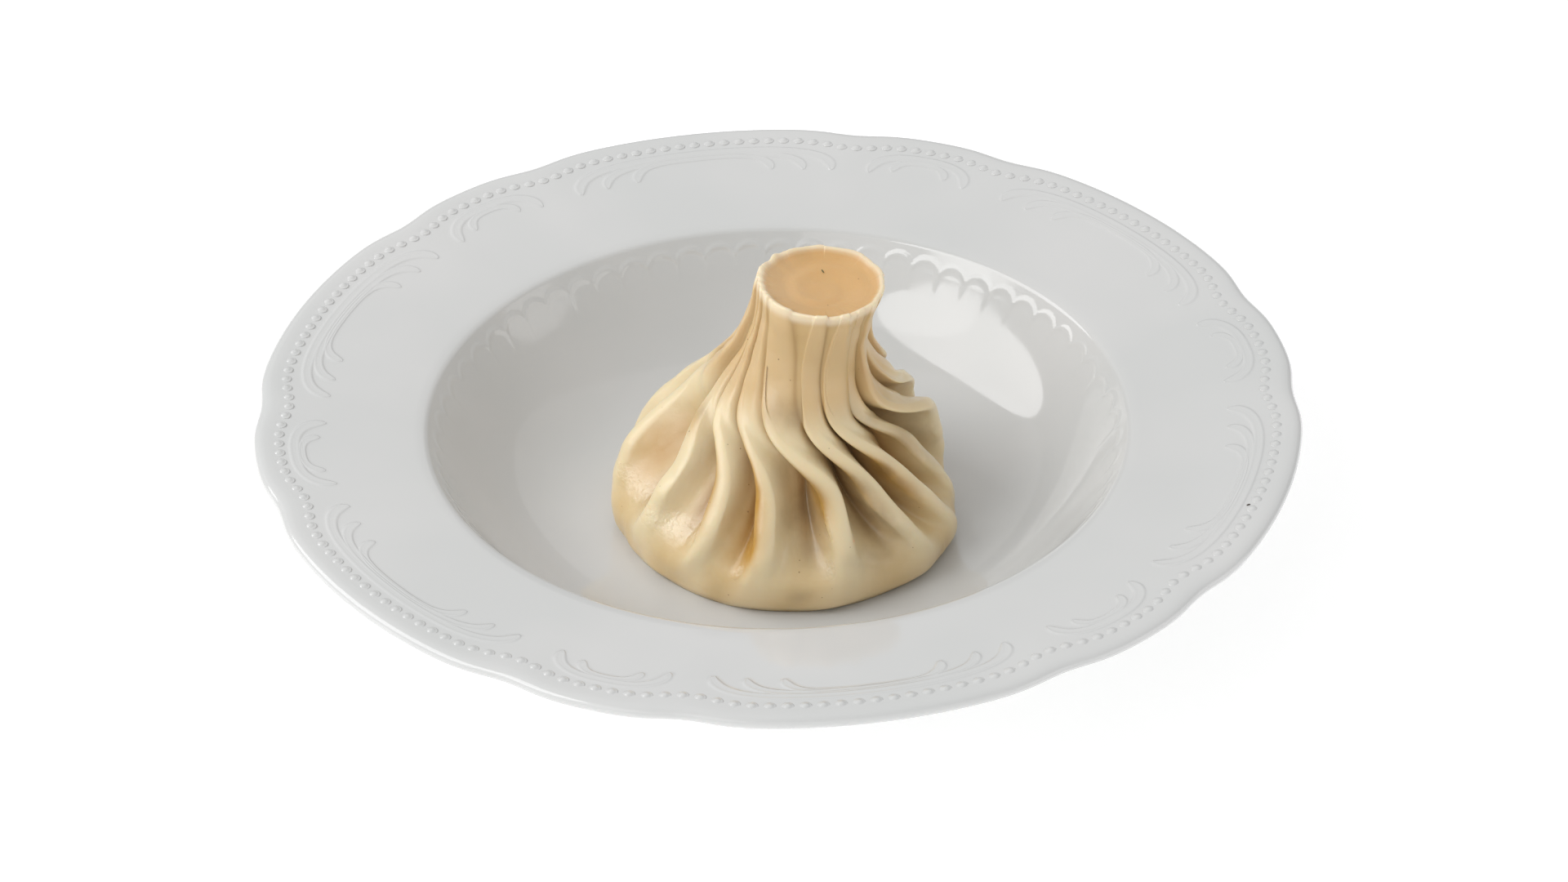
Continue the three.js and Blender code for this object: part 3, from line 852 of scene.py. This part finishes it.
def dough_points(around, up):
    """Points of the folded dough, and how high each is on its fold: 0 in a valley, 1 on a ridge."""
    count = len(PLEATS)
    nearest = np.floor(around + 0.5).astype(int)
    side = np.where(around < nearest, -1, 1)
    away = np.abs(around - nearest) * 2
    valley_before = along(VALLEY_OUT[(nearest - 1) % count], up)
    valley_after = along(VALLEY_OUT[nearest % count], up)
    hollow = valley_before + (valley_after - valley_before) * (0.5 + 0.5 * side * away)
    inner_level = along(VALLEY[:, 0], up)
    inner = inner_level + hollow
    outer = along(CREST[:, 0], up) + along(PLEAT_OUT[nearest % count], up)
    depth = np.maximum(outer - inner, LEAST_DEPTH)
    mine = pleat_turn(nearest, up)
    place = along(VALLEY_PLACE, up)
    reach = np.where(side > 0, place, 1 - place)
    width = np.radians(np.abs(pleat_turn(nearest + side, up) - mine)) * reach * inner_level
    travelled, fold = fold_profile(away, side, up, width, depth)
    radius = inner + depth * fold
    low = along(VALLEY[:, 1], up)
    height = low + (along(CREST[:, 1], up) - low) * fold
    leaning = np.clip((up - LEAN_FROM) / (LEAN_TO - LEAN_FROM), 0, 1)
    lean = LEAN_OVER * np.sin(math.pi * leaning) * fold
    angle = np.radians(mine) + side * travelled / inner_level + lean / radius
    middle_x, middle_y = section_middle(height)
    x = middle_x + radius * np.cos(angle)
    y = middle_y + radius * np.sin(angle)
    return np.column_stack([x, y, height]), fold


print("foot reaches", dough_points(np.array([6.0]), np.array([0.15]))[0].round(1))

# %% [markdown]
# ## The dumpling: a tube of dough
#
# The body starts as a closed cylinder. Its upright edges are subdivided into rows, and its top face
# is extruded and drawn in, ring by ring, to give the cut face something to shape. Then the tube is
# gathered: each point keeps its place round and up the dough, and moves to its fold.

# %% Tube of dough
COLUMNS_PER_PLEAT = 28
DOUGH_COLUMNS = len(PLEATS) * COLUMNS_PER_PLEAT
DOUGH_ROWS = 180
TUBE_RADIUS = 30
# The cut face from its edge inward: share of the radius, and height against the edge
CUT_FACE = [
    (0.985, 0.28), (0.96, 0.36), (0.93, 0.22), (0.9, -0.1), (0.86, -0.45), (0.81, -0.75),
    (0.75, -1.05), (0.68, -1.3), (0.6, -1.55), (0.52, -1.75), (0.44, -1.9), (0.36, -2.05),
    (0.28, -2.15), (0.2, -2.2), (0.12, -2.25), (0.05, -2.3),
]


def make_tube():
    deselect_all()
    middle = (BASE_MIDDLE[0] * MM, BASE_MIDDLE[1] * MM, (DUMPLING_FOOT + STEM_TOP / 2) * MM)
    bpy.ops.mesh.primitive_cylinder_add(
        vertices=DOUGH_COLUMNS, radius=TUBE_RADIUS * MM, depth=STEM_TOP * MM,
        end_fill_type="NGON", location=middle)
    tube = bpy.context.active_object
    tube.name = "khinkali_dough"
    bpy.ops.object.transform_apply(location=True, rotation=True, scale=True)
    heights = read_points(tube)[:, 2]
    ends = np.empty(len(tube.data.edges) * 2, dtype=int)
    tube.data.edges.foreach_get("vertices", ends)
    rise = np.abs(np.diff(heights[ends.reshape(-1, 2)], axis=1))[:, 0]
    bpy.context.tool_settings.mesh_select_mode = (False, True, False)
    bpy.ops.object.mode_set(mode="EDIT")
    bpy.ops.mesh.select_all(action="DESELECT")
    bpy.ops.object.mode_set(mode="OBJECT")
    tube.data.edges.foreach_set("select", rise > STEM_TOP / 2)
    bpy.ops.object.mode_set(mode="EDIT")
    bpy.ops.mesh.subdivide(number_cuts=DOUGH_ROWS - 1)
    bpy.ops.object.mode_set(mode="OBJECT")
    return tube


def draw_in_cut_face(tube):
    bpy.context.tool_settings.mesh_select_mode = (False, False, True)
    bpy.ops.object.mode_set(mode="EDIT")
    bpy.ops.mesh.select_all(action="DESELECT")
    bpy.ops.object.mode_set(mode="OBJECT")
    for face in tube.data.polygons:
        face.select = face.normal.z > 0.9
    bpy.ops.object.mode_set(mode="EDIT")
    middle = (BASE_MIDDLE[0] * MM, BASE_MIDDLE[1] * MM, 0)
    last = 1
    for share, _ in CUT_FACE:
        bpy.ops.mesh.extrude_region_move()
        bpy.ops.transform.resize(value=(share / last, share / last, 1), center_override=middle)
        last = share
    bpy.ops.object.mode_set(mode="OBJECT")


dough = make_tube()
draw_in_cut_face(dough)
print("tube", len(dough.data.vertices), "points,", len(dough.data.polygons), "faces")

# %% [markdown]
# ## The dumpling: gathering the folds
#
# On top of the even folds come the marks of the hand: soft lumps, a small step in the cut's edge at
# each fold, and a ragged lip at the back left where the knife left the stem. The cut face is a
# shallow dish in which the rolled layers of dough show as a low spiral.

# %% Gather the dough
# The sizes and depths of the soft lumps, which fade out below this place up
LUMP_SIZES = ((17, 0.35), (7, 0.14))
LUMPS_FROM = 0.08
NOISE_WAVES = 9
NOISE_SPREAD = 4
# Where fingers pressed the dough in, or closed a groove of the stem: place round in pleats, place up,
# the two half widths and how far out in millimetres
DENTS = [
    (1.4, 0.38, 0.25, 0.14, -2.4), (1.95, 0.42, 0.18, 0.08, -1.6), (2.25, 0.28, 0.6, 0.05, -1.2),
    (2.75, 0.45, 0.22, 0.10, -2.0), (3.7, 0.48, 0.28, 0.14, -2.6), (4.55, 0.38, 0.26, 0.07, -2.2),
    (5.65, 0.44, 0.3, 0.10, -2.4), (6.75, 0.43, 0.24, 0.08, -2.0), (8.6, 0.42, 0.3, 0.08, -1.5),
    (9.45, 0.70, 0.22, 0.10, -2.0), (10.0, 0.62, 0.12, 0.10, -1.2), (7.46, 0.86, 0.14, 0.20, 0.7),
    (3.46, 0.84, 0.14, 0.16, 0.5), (4.47, 0.78, 0.14, 0.13, 0.7),
]
# The cut: how much it rises, in which direction in degrees, and its radius
CUT_SLOPE = 0.8
CUT_SLOPE_TOWARDS = 130
CUT_RADIUS = 13.8
# Inward from the edge, its steps and ragged lip fade and its outline rounds by these powers
EDGE_POWER = 7
ROUNDING_POWER = 6
# The slope and the steps take hold over this share of the height, just under the cut
CUT_BAND = 0.07
NEARLY_ONE = 0.999
# The step at each fold's end, on the pleats between these two
FOLD_END_STEP = 0.9
STEPS_FROM = 3
STEPS_TO = 9
STEPS_GROW_OVER = 2
# The ragged lip: its direction and spread in degrees, its rise, and the spacing in degrees and the
# share of its lumps
RAGGED_MIDDLE = 140
RAGGED_SPREAD = 42
RAGGED_RISE = 0.9
RAGGED_LUMP = 24
RAGGED_LUMPINESS = 0.4
# The spiral: its pitch and rise, its start in degrees, the share of a layer where it is highest, and
# where it begins and ends on the face
SPIRAL_PITCH = 7.0
SPIRAL_RISE = 0.4
SPIRAL_START = 200
SPIRAL_CREST = 0.85
SPIRAL_INNER = 1.5
SPIRAL_OUTER = 0.86 * CUT_RADIUS
SPIRAL_BLEND = 3


def soft_noise(points, size, seed):
    """A smooth unevenness between about -1 and 1, with bumps of about that size in millimetres."""
    random = np.random.default_rng(seed)
    total = np.zeros(len(points))
    for _ in range(NOISE_WAVES):
        direction = random.normal(size=3)
        direction *= random.uniform(0.7, 1.4) * 2 * math.pi / (size * np.linalg.norm(direction))
        total += np.sin(points @ direction + random.uniform(0, 2 * math.pi))
    return total / NOISE_SPREAD


def patches(around, up, spots):
    """The sum of soft spots on the dough, each with its place, its half widths and its strength."""
    total = np.zeros(len(up))
    for place, height, half_round, half_up, strength in spots:
        away = (around - place + len(PLEATS) / 2) % len(PLEATS) - len(PLEATS) / 2
        total += strength * np.exp(-((away / half_round) ** 2) - ((up - height) / half_up) ** 2)
    return total


def read_places(tube):
    """How far round in pleats, how far up, and on the cut face the share of the radius."""
    points = read_points(tube)
    x = points[:, 0] - BASE_MIDDLE[0]
    y = points[:, 1] - BASE_MIDDLE[1]
    column = np.round(np.degrees(np.arctan2(y, x)) / 360 * DOUGH_COLUMNS)
    around = np.mod(column, DOUGH_COLUMNS) / COLUMNS_PER_PLEAT
    up = np.round((points[:, 2] - DUMPLING_FOOT) / STEM_TOP * DOUGH_ROWS) / DOUGH_ROWS
    return around, np.clip(up, 0, 1), np.hypot(x, y) / TUBE_RADIUS


def cut_edge_height(points, around):
    """How much each point of the cut stands above a level cut."""
    x = points[:, 0] - STEM_MIDDLE[0]
    y = points[:, 1] - STEM_MIDDLE[1]
    turn = np.degrees(np.arctan2(y, x))
    towards = math.radians(CUT_SLOPE_TOWARDS)
    slope = CUT_SLOPE * (x * math.cos(towards) + y * math.sin(towards)) / CUT_RADIUS
    share = np.clip(np.hypot(x, y) / CUT_RADIUS, 0, 1) ** EDGE_POWER
    stepped = ease((around - STEPS_FROM) / STEPS_GROW_OVER) * ease(STEPS_TO - around)
    step = FOLD_END_STEP * ((around + 0.5) % 1 - 0.5) * stepped
    away = (turn - RAGGED_MIDDLE + 180) % 360 - 180
    ragged = RAGGED_RISE * np.exp(-((away / RAGGED_SPREAD) ** 2))
    wave = np.cos(np.radians(away * 360 / RAGGED_LUMP) + np.sin(np.radians(away * 7)))
    lumps = 1 - RAGGED_LUMPINESS + RAGGED_LUMPINESS * wave
    return slope + share * (ragged * lumps + step)


def spiral_relief(points):
    """The rolled layers on the cut face: each rises slowly outward and ends in a small step."""
    x = points[:, 0] - STEM_MIDDLE[0]
    y = points[:, 1] - STEM_MIDDLE[1]
    radius = np.hypot(x, y)
    turn = np.degrees(np.arctan2(y, x))
    layer = (radius / SPIRAL_PITCH + (turn - SPIRAL_START) / 360) % 1
    step = np.where(layer < SPIRAL_CREST, layer / SPIRAL_CREST, (1 - layer) / (1 - SPIRAL_CREST))
    fade = ease((radius - SPIRAL_INNER) / SPIRAL_BLEND) * ease((SPIRAL_OUTER - radius) / SPIRAL_BLEND)
    return SPIRAL_RISE * (ease(step) - 0.5) * fade


def gather(tube):
    """Moves the tube's points onto the folds, and returns them with their places and marks."""
    around, up, share = read_places(tube)
    points, fold = dough_points(around, up)
    middle_x, middle_y = section_middle(points[:, 2])
    grow = patches(around, up, DENTS)
    for number, (size, depth) in enumerate(LUMP_SIZES):
        grow += depth * soft_noise(points, size, number) * ease(up / LUMPS_FROM)
    radius = np.hypot(points[:, 0] - middle_x, points[:, 1] - middle_y)
    points[:, 0] += (points[:, 0] - middle_x) * grow / radius
    points[:, 1] += (points[:, 1] - middle_y) * grow / radius
    on_face = (up > NEARLY_ONE) & (share < NEARLY_ONE)
    from_middle = points[on_face, :2] - STEM_MIDDLE
    out_to_edge = np.hypot(*from_middle.T)[:, None]
    inward = share[on_face, None]
    rounded = CUT_RADIUS + (out_to_edge - CUT_RADIUS) * inward ** ROUNDING_POWER
    points[on_face, :2] = STEM_MIDDLE + from_middle / out_to_edge * rounded * inward
    shares, heights = zip(*reversed([(1.0, 0.0)] + CUT_FACE))
    points[on_face, 2] += np.interp(share[on_face], shares, heights)
    points[on_face, 2] += spiral_relief(points[on_face])
    near_cut = ease((up - 1 + CUT_BAND) / CUT_BAND)
    points[:, 2] += near_cut * cut_edge_height(points, around)
    points[:, 2] += DUMPLING_FOOT
    write_points(tube, points)
    return points, around, up, share, fold, on_face


dough_shape, around, up, share, fold, on_face = gather(dough)
activate(dough)
bpy.ops.object.shade_smooth()
print("dough from", dough_shape.min(axis=0).round(1), "to", dough_shape.max(axis=0).round(1))
print("on the cut face", int(on_face.sum()), "points")

# %% [markdown]
# ## The dumpling: what the dough shows
#
# Boiled dough lets light through, so its colour tells how thick it is and what lies behind it. It is
# cream on the ridges, where it is doubled, honey in the valleys, where light comes through a single
# layer, tan on the tight stem, and grey-brown where the mushrooms press against it. Painted shade is
# laid into the valleys, the honey and the grey-brown, a painted dark line marks the shade in each
# crease, and painted light makes the cut face paler on the left. Some hollows are still wet. Each of
# these is stored as a number on every point, so that the material can blend them.

# %% Marks on the dough
# A patch: its place round in pleats and its place up, its two half widths and its strength
# Honey: partly the colour of thin dough, partly painted shade on flanks and in pockets turned from the
# light
HONEY_AND_SHADE_PATCHES = [
    (1.28, 0.36, 0.12, 0.14, 0.8), (1.95, 0.57, 0.3, 0.04, 0.6), (2.8, 0.46, 0.16, 0.14, 1.5),
    (3.78, 0.48, 0.19, 0.17, 2.2), (3.6, 0.30, 0.3, 0.10, 0.9), (4.78, 0.46, 0.16, 0.11, 1.5),
    (5.82, 0.48, 0.16, 0.10, 0.9), (6.84, 0.44, 0.16, 0.12, 1.3), (7.8, 0.5, 0.3, 0.1, 0.5),
    (9.3, 0.6, 0.6, 0.1, 0.3), (10.6, 0.45, 0.25, 0.2, 0.9), (11.6, 0.45, 0.25, 0.2, 1.0),
    (13.6, 0.45, 0.25, 0.2, 1.0), (14.6, 0.45, 0.25, 0.2, 0.8),
]
# Grey-brown: partly the filling seen through the dough, partly painted shade in the deep pockets
FILLING_AND_SHADE_PATCHES = [
    (5.84, 0.45, 0.18, 0.10, 1.0), (5.6, 0.32, 0.3, 0.07, 0.8), (4.5, 0.36, 0.24, 0.06, 0.9),
    (4.84, 0.50, 0.10, 0.08, 0.6), (4.6, 0.26, 0.24, 0.05, 0.5), (6.84, 0.42, 0.16, 0.10, 0.9),
    (7.85, 0.45, 0.2, 0.12, 0.6), (8.5, 0.40, 0.4, 0.12, 0.8), (5.4, 0.70, 0.4, 0.05, 0.5),
    (7.8, 0.63, 0.5, 0.05, 0.6), (9.4, 0.68, 0.5, 0.10, 0.25), (2.1, 0.60, 0.14, 0.03, 0.45),
    (4.5, 0.13, 0.14, 0.03, 0.35), (5.4, 0.22, 0.5, 0.06, 0.35), (10.5, 0.45, 0.4, 0.1, 0.6),
    (12.5, 0.35, 0.35, 0.1, 0.6), (13.6, 0.3, 0.3, 0.1, 0.5),
]
WET_PATCHES = [
    (1.4, 0.26, 0.4, 0.035, 0.9), (2.3, 0.26, 0.45, 0.035, 1.0), (3.68, 0.20, 0.08, 0.03, 1.0),
    (4.84, 0.36, 0.06, 0.07, 0.9), (4.78, 0.22, 0.06, 0.03, 1.0), (12.4, 0.25, 0.3, 0.04, 0.8),
]
# Where two folds of the stem have merged, so that the painted crease shade between them is faint
MERGED_FOLDS = [
    (7.5, 0.9, 0.3, 0.25, 1.0), (3.5, 0.9, 0.3, 0.2, 0.8), (2.5, 0.9, 0.3, 0.2, 0.6),
    (4.5, 0.8, 0.3, 0.2, 0.7),
]
# The painted crease shade, a dark line for the shade in each fold: its half widths in pleats before
# the valley and after it, on the stem, and what each gains further down, below this place up. On the
# stem it has this share of its depth of shade
CREASE_BEFORE = (0.04, 0.06)
CREASE_AFTER = (0.08, 0.22)
CREASE_LOW_TO = 0.55
CREASE_FROM = 0.2
CREASE_BLEND = 0.15
CREASE_ON_STEM = 0.6
# The tan of the stem and of the foot, each with the place up where it starts or ends and its blend
STEM_TAN = (0.75, 0.6, 0.14)
FOOT_TAN = (0.42, 0.24, 0.16)
# The pale rim of the cut, and how much paler painted light makes the face's left side, towards the light
RIM_FROM = 0.88
RIM_BLEND = 0.06
PAINTED_LIGHT_ON_LEFT = 0.2
# The colour of the cut ends, and that of its edge begins on the outside, at these places
CUT_ENDS = 0.97
CUT_BLEND = 0.12
EDGE_FROM = 0.972
EDGE_BLEND = 0.02


def patch_share(around, up, spots):
    return np.clip(patches(around, up, spots), 0, 1)


def painted_crease_shade(around, up):
    """Painted shade: a dark line where a fold laps over the dough before it, faint where two folds have
    merged.
    """
    past = around % 1 - 0.5
    merged = patch_share(around, up, MERGED_FOLDS)
    low = 1 - ease((up - CREASE_LOW_TO) / CREASE_BLEND)
    before = CREASE_BEFORE[0] + CREASE_BEFORE[1] * low
    after = CREASE_AFTER[0] + CREASE_AFTER[1] * low
    line = np.exp(-((past / np.where(past < 0, before, after)) ** 2))
    strength = CREASE_ON_STEM + (1 - CREASE_ON_STEM) * low
    return line * ease((up - CREASE_FROM) / CREASE_BLEND) * strength * (1 - merged)


def tan_share(up):
    stem, stem_from, stem_blend = STEM_TAN
    foot, foot_to, foot_blend = FOOT_TAN
    return stem * ease((up - stem_from) / stem_blend) + foot * ease((foot_to - up) / foot_blend)


def pale_edge_and_painted_light(points, up, share, on_face):
    """The pale edge of the cut, on the face from its rim inward and on the outside from the rim down,
    and painted light on the face's left side.
    """
    leftward = (STEM_MIDDLE[0] - points[:, 0]) / CUT_RADIUS
    rim = ease((share - RIM_FROM) / RIM_BLEND) + PAINTED_LIGHT_ON_LEFT * ease(leftward)
    return np.where(on_face, np.clip(rim, 0, 1), ease((up - EDGE_FROM) / EDGE_BLEND))


add_attribute(dough, "fold", np.where(on_face, 1, fold))
add_attribute(dough, "tan", tan_share(up))
add_attribute(dough, "crease", np.where(on_face, 0, painted_crease_shade(around, up)))
for name, spots in (("honey", HONEY_AND_SHADE_PATCHES), ("filling", FILLING_AND_SHADE_PATCHES), ("wet", WET_PATCHES)):
    add_attribute(dough, name, np.where(on_face, 0, patch_share(around, up, spots)))
add_attribute(dough, "cut", np.where(on_face, ease((CUT_ENDS - share) / CUT_BLEND), 0))
add_attribute(dough, "edge", pale_edge_and_painted_light(dough_shape, up, share, on_face))
print("marks stored")

# %% [markdown]
# ## Boiled dough
#
# The shader carries light under the surface, further for red than for blue, which gives the honey
# glow in the valleys. A thin wet coat makes the sheen. Colour comes from the stored marks, painted
# shade and light among them, broken up by noise, with sparse specks of bran.

# %% Boiled dough
DOUGH_RIDGE = screen(230, 213, 174)
# Partly the colour of single-layer dough, partly painted shade in the valleys
DOUGH_VALLEY_AND_SHADE = screen(200, 169, 114)
# Honey, partly painted shade
DOUGH_HONEY_AND_SHADE = screen(184, 136, 44)
# Painted shade: the crease colour stands for the shade where a fold laps over the dough
DOUGH_CREASE_SHADE = screen(150, 108, 56)
DOUGH_TAN = screen(203, 168, 116)
# Filling seen through the dough, partly painted shade
DOUGH_FILLING_AND_SHADE = screen(134, 110, 78)
DOUGH_CUT = screen(209, 167, 110)
# The pale edge of the cut, also used as painted light on the face's left side
DOUGH_PALE_EDGE_AND_LIGHT = screen(240, 226, 198)
BRAN = screen(120, 84, 48)
# How far each mark takes the colour to its own
VALLEY_AND_SHADE_SHARE = 0.65
CREASE_SHADE_SHARE = 0.7
FILLING_AND_SHADE_SHARE = 0.9
PALE_EDGE_AND_LIGHT_SHARE = 0.7
BRAN_SHARE = 0.6
DRY_ROUGHNESS = (0.30, 0.46)
WET_ROUGHNESS = 0.12
COAT = (0.22, 1.0)
COAT_ROUGHNESS = 0.14
# Each relief: the size of its noise in millimetres and its detail, its strength and its height
GRAIN = (0.9, 4, 0.12, 0.3)
WAVES = (4, 2, 0.25, 0.6)
WRINKLES = (1.3, 3, 1.0, 0.4)
# Light under the surface: its share, its reach for red, green and blue, and the scale of that reach
GLOW_SHARE = 0.3
GLOW_REACH = (1.0, 0.6, 0.3)
GLOW_SCALE = 2 * MM


def stored(tree, name):
    return add(tree, "ShaderNodeAttribute", attribute_name=name).outputs["Fac"]


def dough_colour(tree, where):
    """Cream, tan, honey and grey-brown laid over one another by the stored marks."""
    valley = remap(tree, stored(tree, "fold"), 0.9, 0.1)
    uneven = remap(tree, noise(tree, where, 6, detail=3), 0.25, 0.7, 0.75, 1.0)
    colour = mix_colour(tree, stored(tree, "tan"), DOUGH_RIDGE, DOUGH_TAN)
    # Darker valleys: partly single-layer dough, partly painted shade
    thin_and_shaded = multiply(tree, multiply(tree, valley, uneven), VALLEY_AND_SHADE_SHARE)
    colour = mix_colour(tree, thin_and_shaded, colour, DOUGH_VALLEY_AND_SHADE)
    # Honey, partly painted shade on the flanks turned from the light
    colour = mix_colour(tree, multiply(tree, stored(tree, "honey"), uneven), colour, DOUGH_HONEY_AND_SHADE)
    # Painted shade in the creases
    crease = multiply(tree, stored(tree, "crease"), valley)
    colour = mix_colour(tree, multiply(tree, crease, CREASE_SHADE_SHARE), colour, DOUGH_CREASE_SHADE)
    # Filling, partly painted shade in the pockets
    clouded = remap(tree, noise(tree, where, 7, detail=4), 0.35, 0.62, 0.45)
    filling = multiply(tree, stored(tree, "filling"), clouded)
    colour = mix_colour(tree, multiply(tree, filling, FILLING_AND_SHADE_SHARE), colour, DOUGH_FILLING_AND_SHADE)
    colour = mix_colour(tree, stored(tree, "cut"), colour, DOUGH_CUT)
    # The pale edge, and painted light on the left of the cut face
    colour = mix_colour(tree, multiply(tree, stored(tree, "edge"), PALE_EDGE_AND_LIGHT_SHARE), colour, DOUGH_PALE_EDGE_AND_LIGHT)
    bran = specks(tree, where, 2.2, 0.09, 0.35)
    return mix_colour(tree, multiply(tree, bran, BRAN_SHARE), colour, BRAN)


def make_dough_material():
    material, tree, shader = new_material("boiled_dough")
    where = object_coordinates(tree)
    wet = stored(tree, "wet")
    dry = remap(tree, noise(tree, where, 5), 0.3, 0.7, *DRY_ROUGHNESS)
    roughness = add(tree, "ShaderNodeMix", {0: wet, 2: dry, 3: WET_ROUGHNESS}, data_type="FLOAT")
    grain = uneven_relief(tree, where, *GRAIN)
    waves = uneven_relief(tree, where, *WAVES, below=grain)
    fill(tree, shader, {
        "Base Color": dough_colour(tree, where),
        "Roughness": roughness.outputs[0],
        "Normal": uneven_relief(tree, where, *WRINKLES, below=waves, mask=wet),
        "Subsurface Weight": GLOW_SHARE,
        "Subsurface Radius": GLOW_REACH,
        "Subsurface Scale": GLOW_SCALE,
        "Coat Weight": remap(tree, wet, 0, 1, *COAT),
        "Coat Roughness": COAT_ROUGHNESS,
    })
    return material


dough.data.materials.append(make_dough_material())
print("dough boiled")

# %% [markdown]
# ## Crumbs and a shred of herb
#
# A served plate is never quite clean: a dark crumb and a brown one lie on the rim, and a shred of
# dill is caught on the cut. Each is a coarse ball, pulled long and flat, turned, made uneven and set
# into the surface that carries it.

# %% Crumbs and herb
# Each: its name, its place, its three half lengths, its direction in degrees and its colour
CRUMBS = [
    ("crumb_dark", (100.2, -42.0, 37.15), (0.45, 0.3, 0.2), 25, screen(70, 58, 48)),
    ("crumb_brown", (86.2, 23.6, 34.1), (0.4, 0.35, 0.2), 70, screen(176, 112, 58)),
    ("herb_shred", (10.1, 7.4, 65.7), (0.9, 0.16, 0.1), 110, screen(104, 108, 52)),
]
CRUMB_SHADE = screen(40, 34, 26)
CRUMB_BUMP_SIZE = 0.8
CRUMB_BUMP_SHARE = 0.2


def make_crumb(name, place, half_lengths, degrees, colour):
    deselect_all()
    bpy.ops.mesh.primitive_ico_sphere_add(
        subdivisions=3, radius=MM, location=Vector(place) * MM, rotation=(0, 0, math.radians(degrees)))
    crumb = bpy.context.active_object
    crumb.name = name
    crumb.scale = half_lengths
    bpy.ops.object.transform_apply(location=True, rotation=True, scale=True)
    points = read_points(crumb)
    bumps = soft_noise(points, CRUMB_BUMP_SIZE, len(name))[:, None]
    write_points(crumb, np.array(place) + (points - place) * (1 + CRUMB_BUMP_SHARE * bumps))
    bpy.ops.object.shade_smooth()
    material, tree, shader = new_material(name)
    shade = remap(tree, noise(tree, object_coordinates(tree), 0.3), 0.3, 0.7, 0.0, 0.6)
    fill(tree, shader, {"Base Color": mix_colour(tree, shade, colour, CRUMB_SHADE), "Roughness": 0.6})
    crumb.data.materials.append(material)
    return crumb


crumbs = [make_crumb(*crumb) for crumb in CRUMBS]
print("crumbs", [crumb.name for crumb in crumbs])

# %% [markdown]
# ## Finish
#
# Each piece rides on the part's one body, and the plate, its beads and the dough stand for their
# solids, which are hidden. The boxes of the plate and the dumpling were read before the dressing.

def declare(piece, node=None):
    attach(piece, "root")
    if node:
        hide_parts(node)


declare(plate, "plate")
declare(beads, "plate")
declare(dough, "khinkali")
for crumb in crumbs:
    declare(crumb)
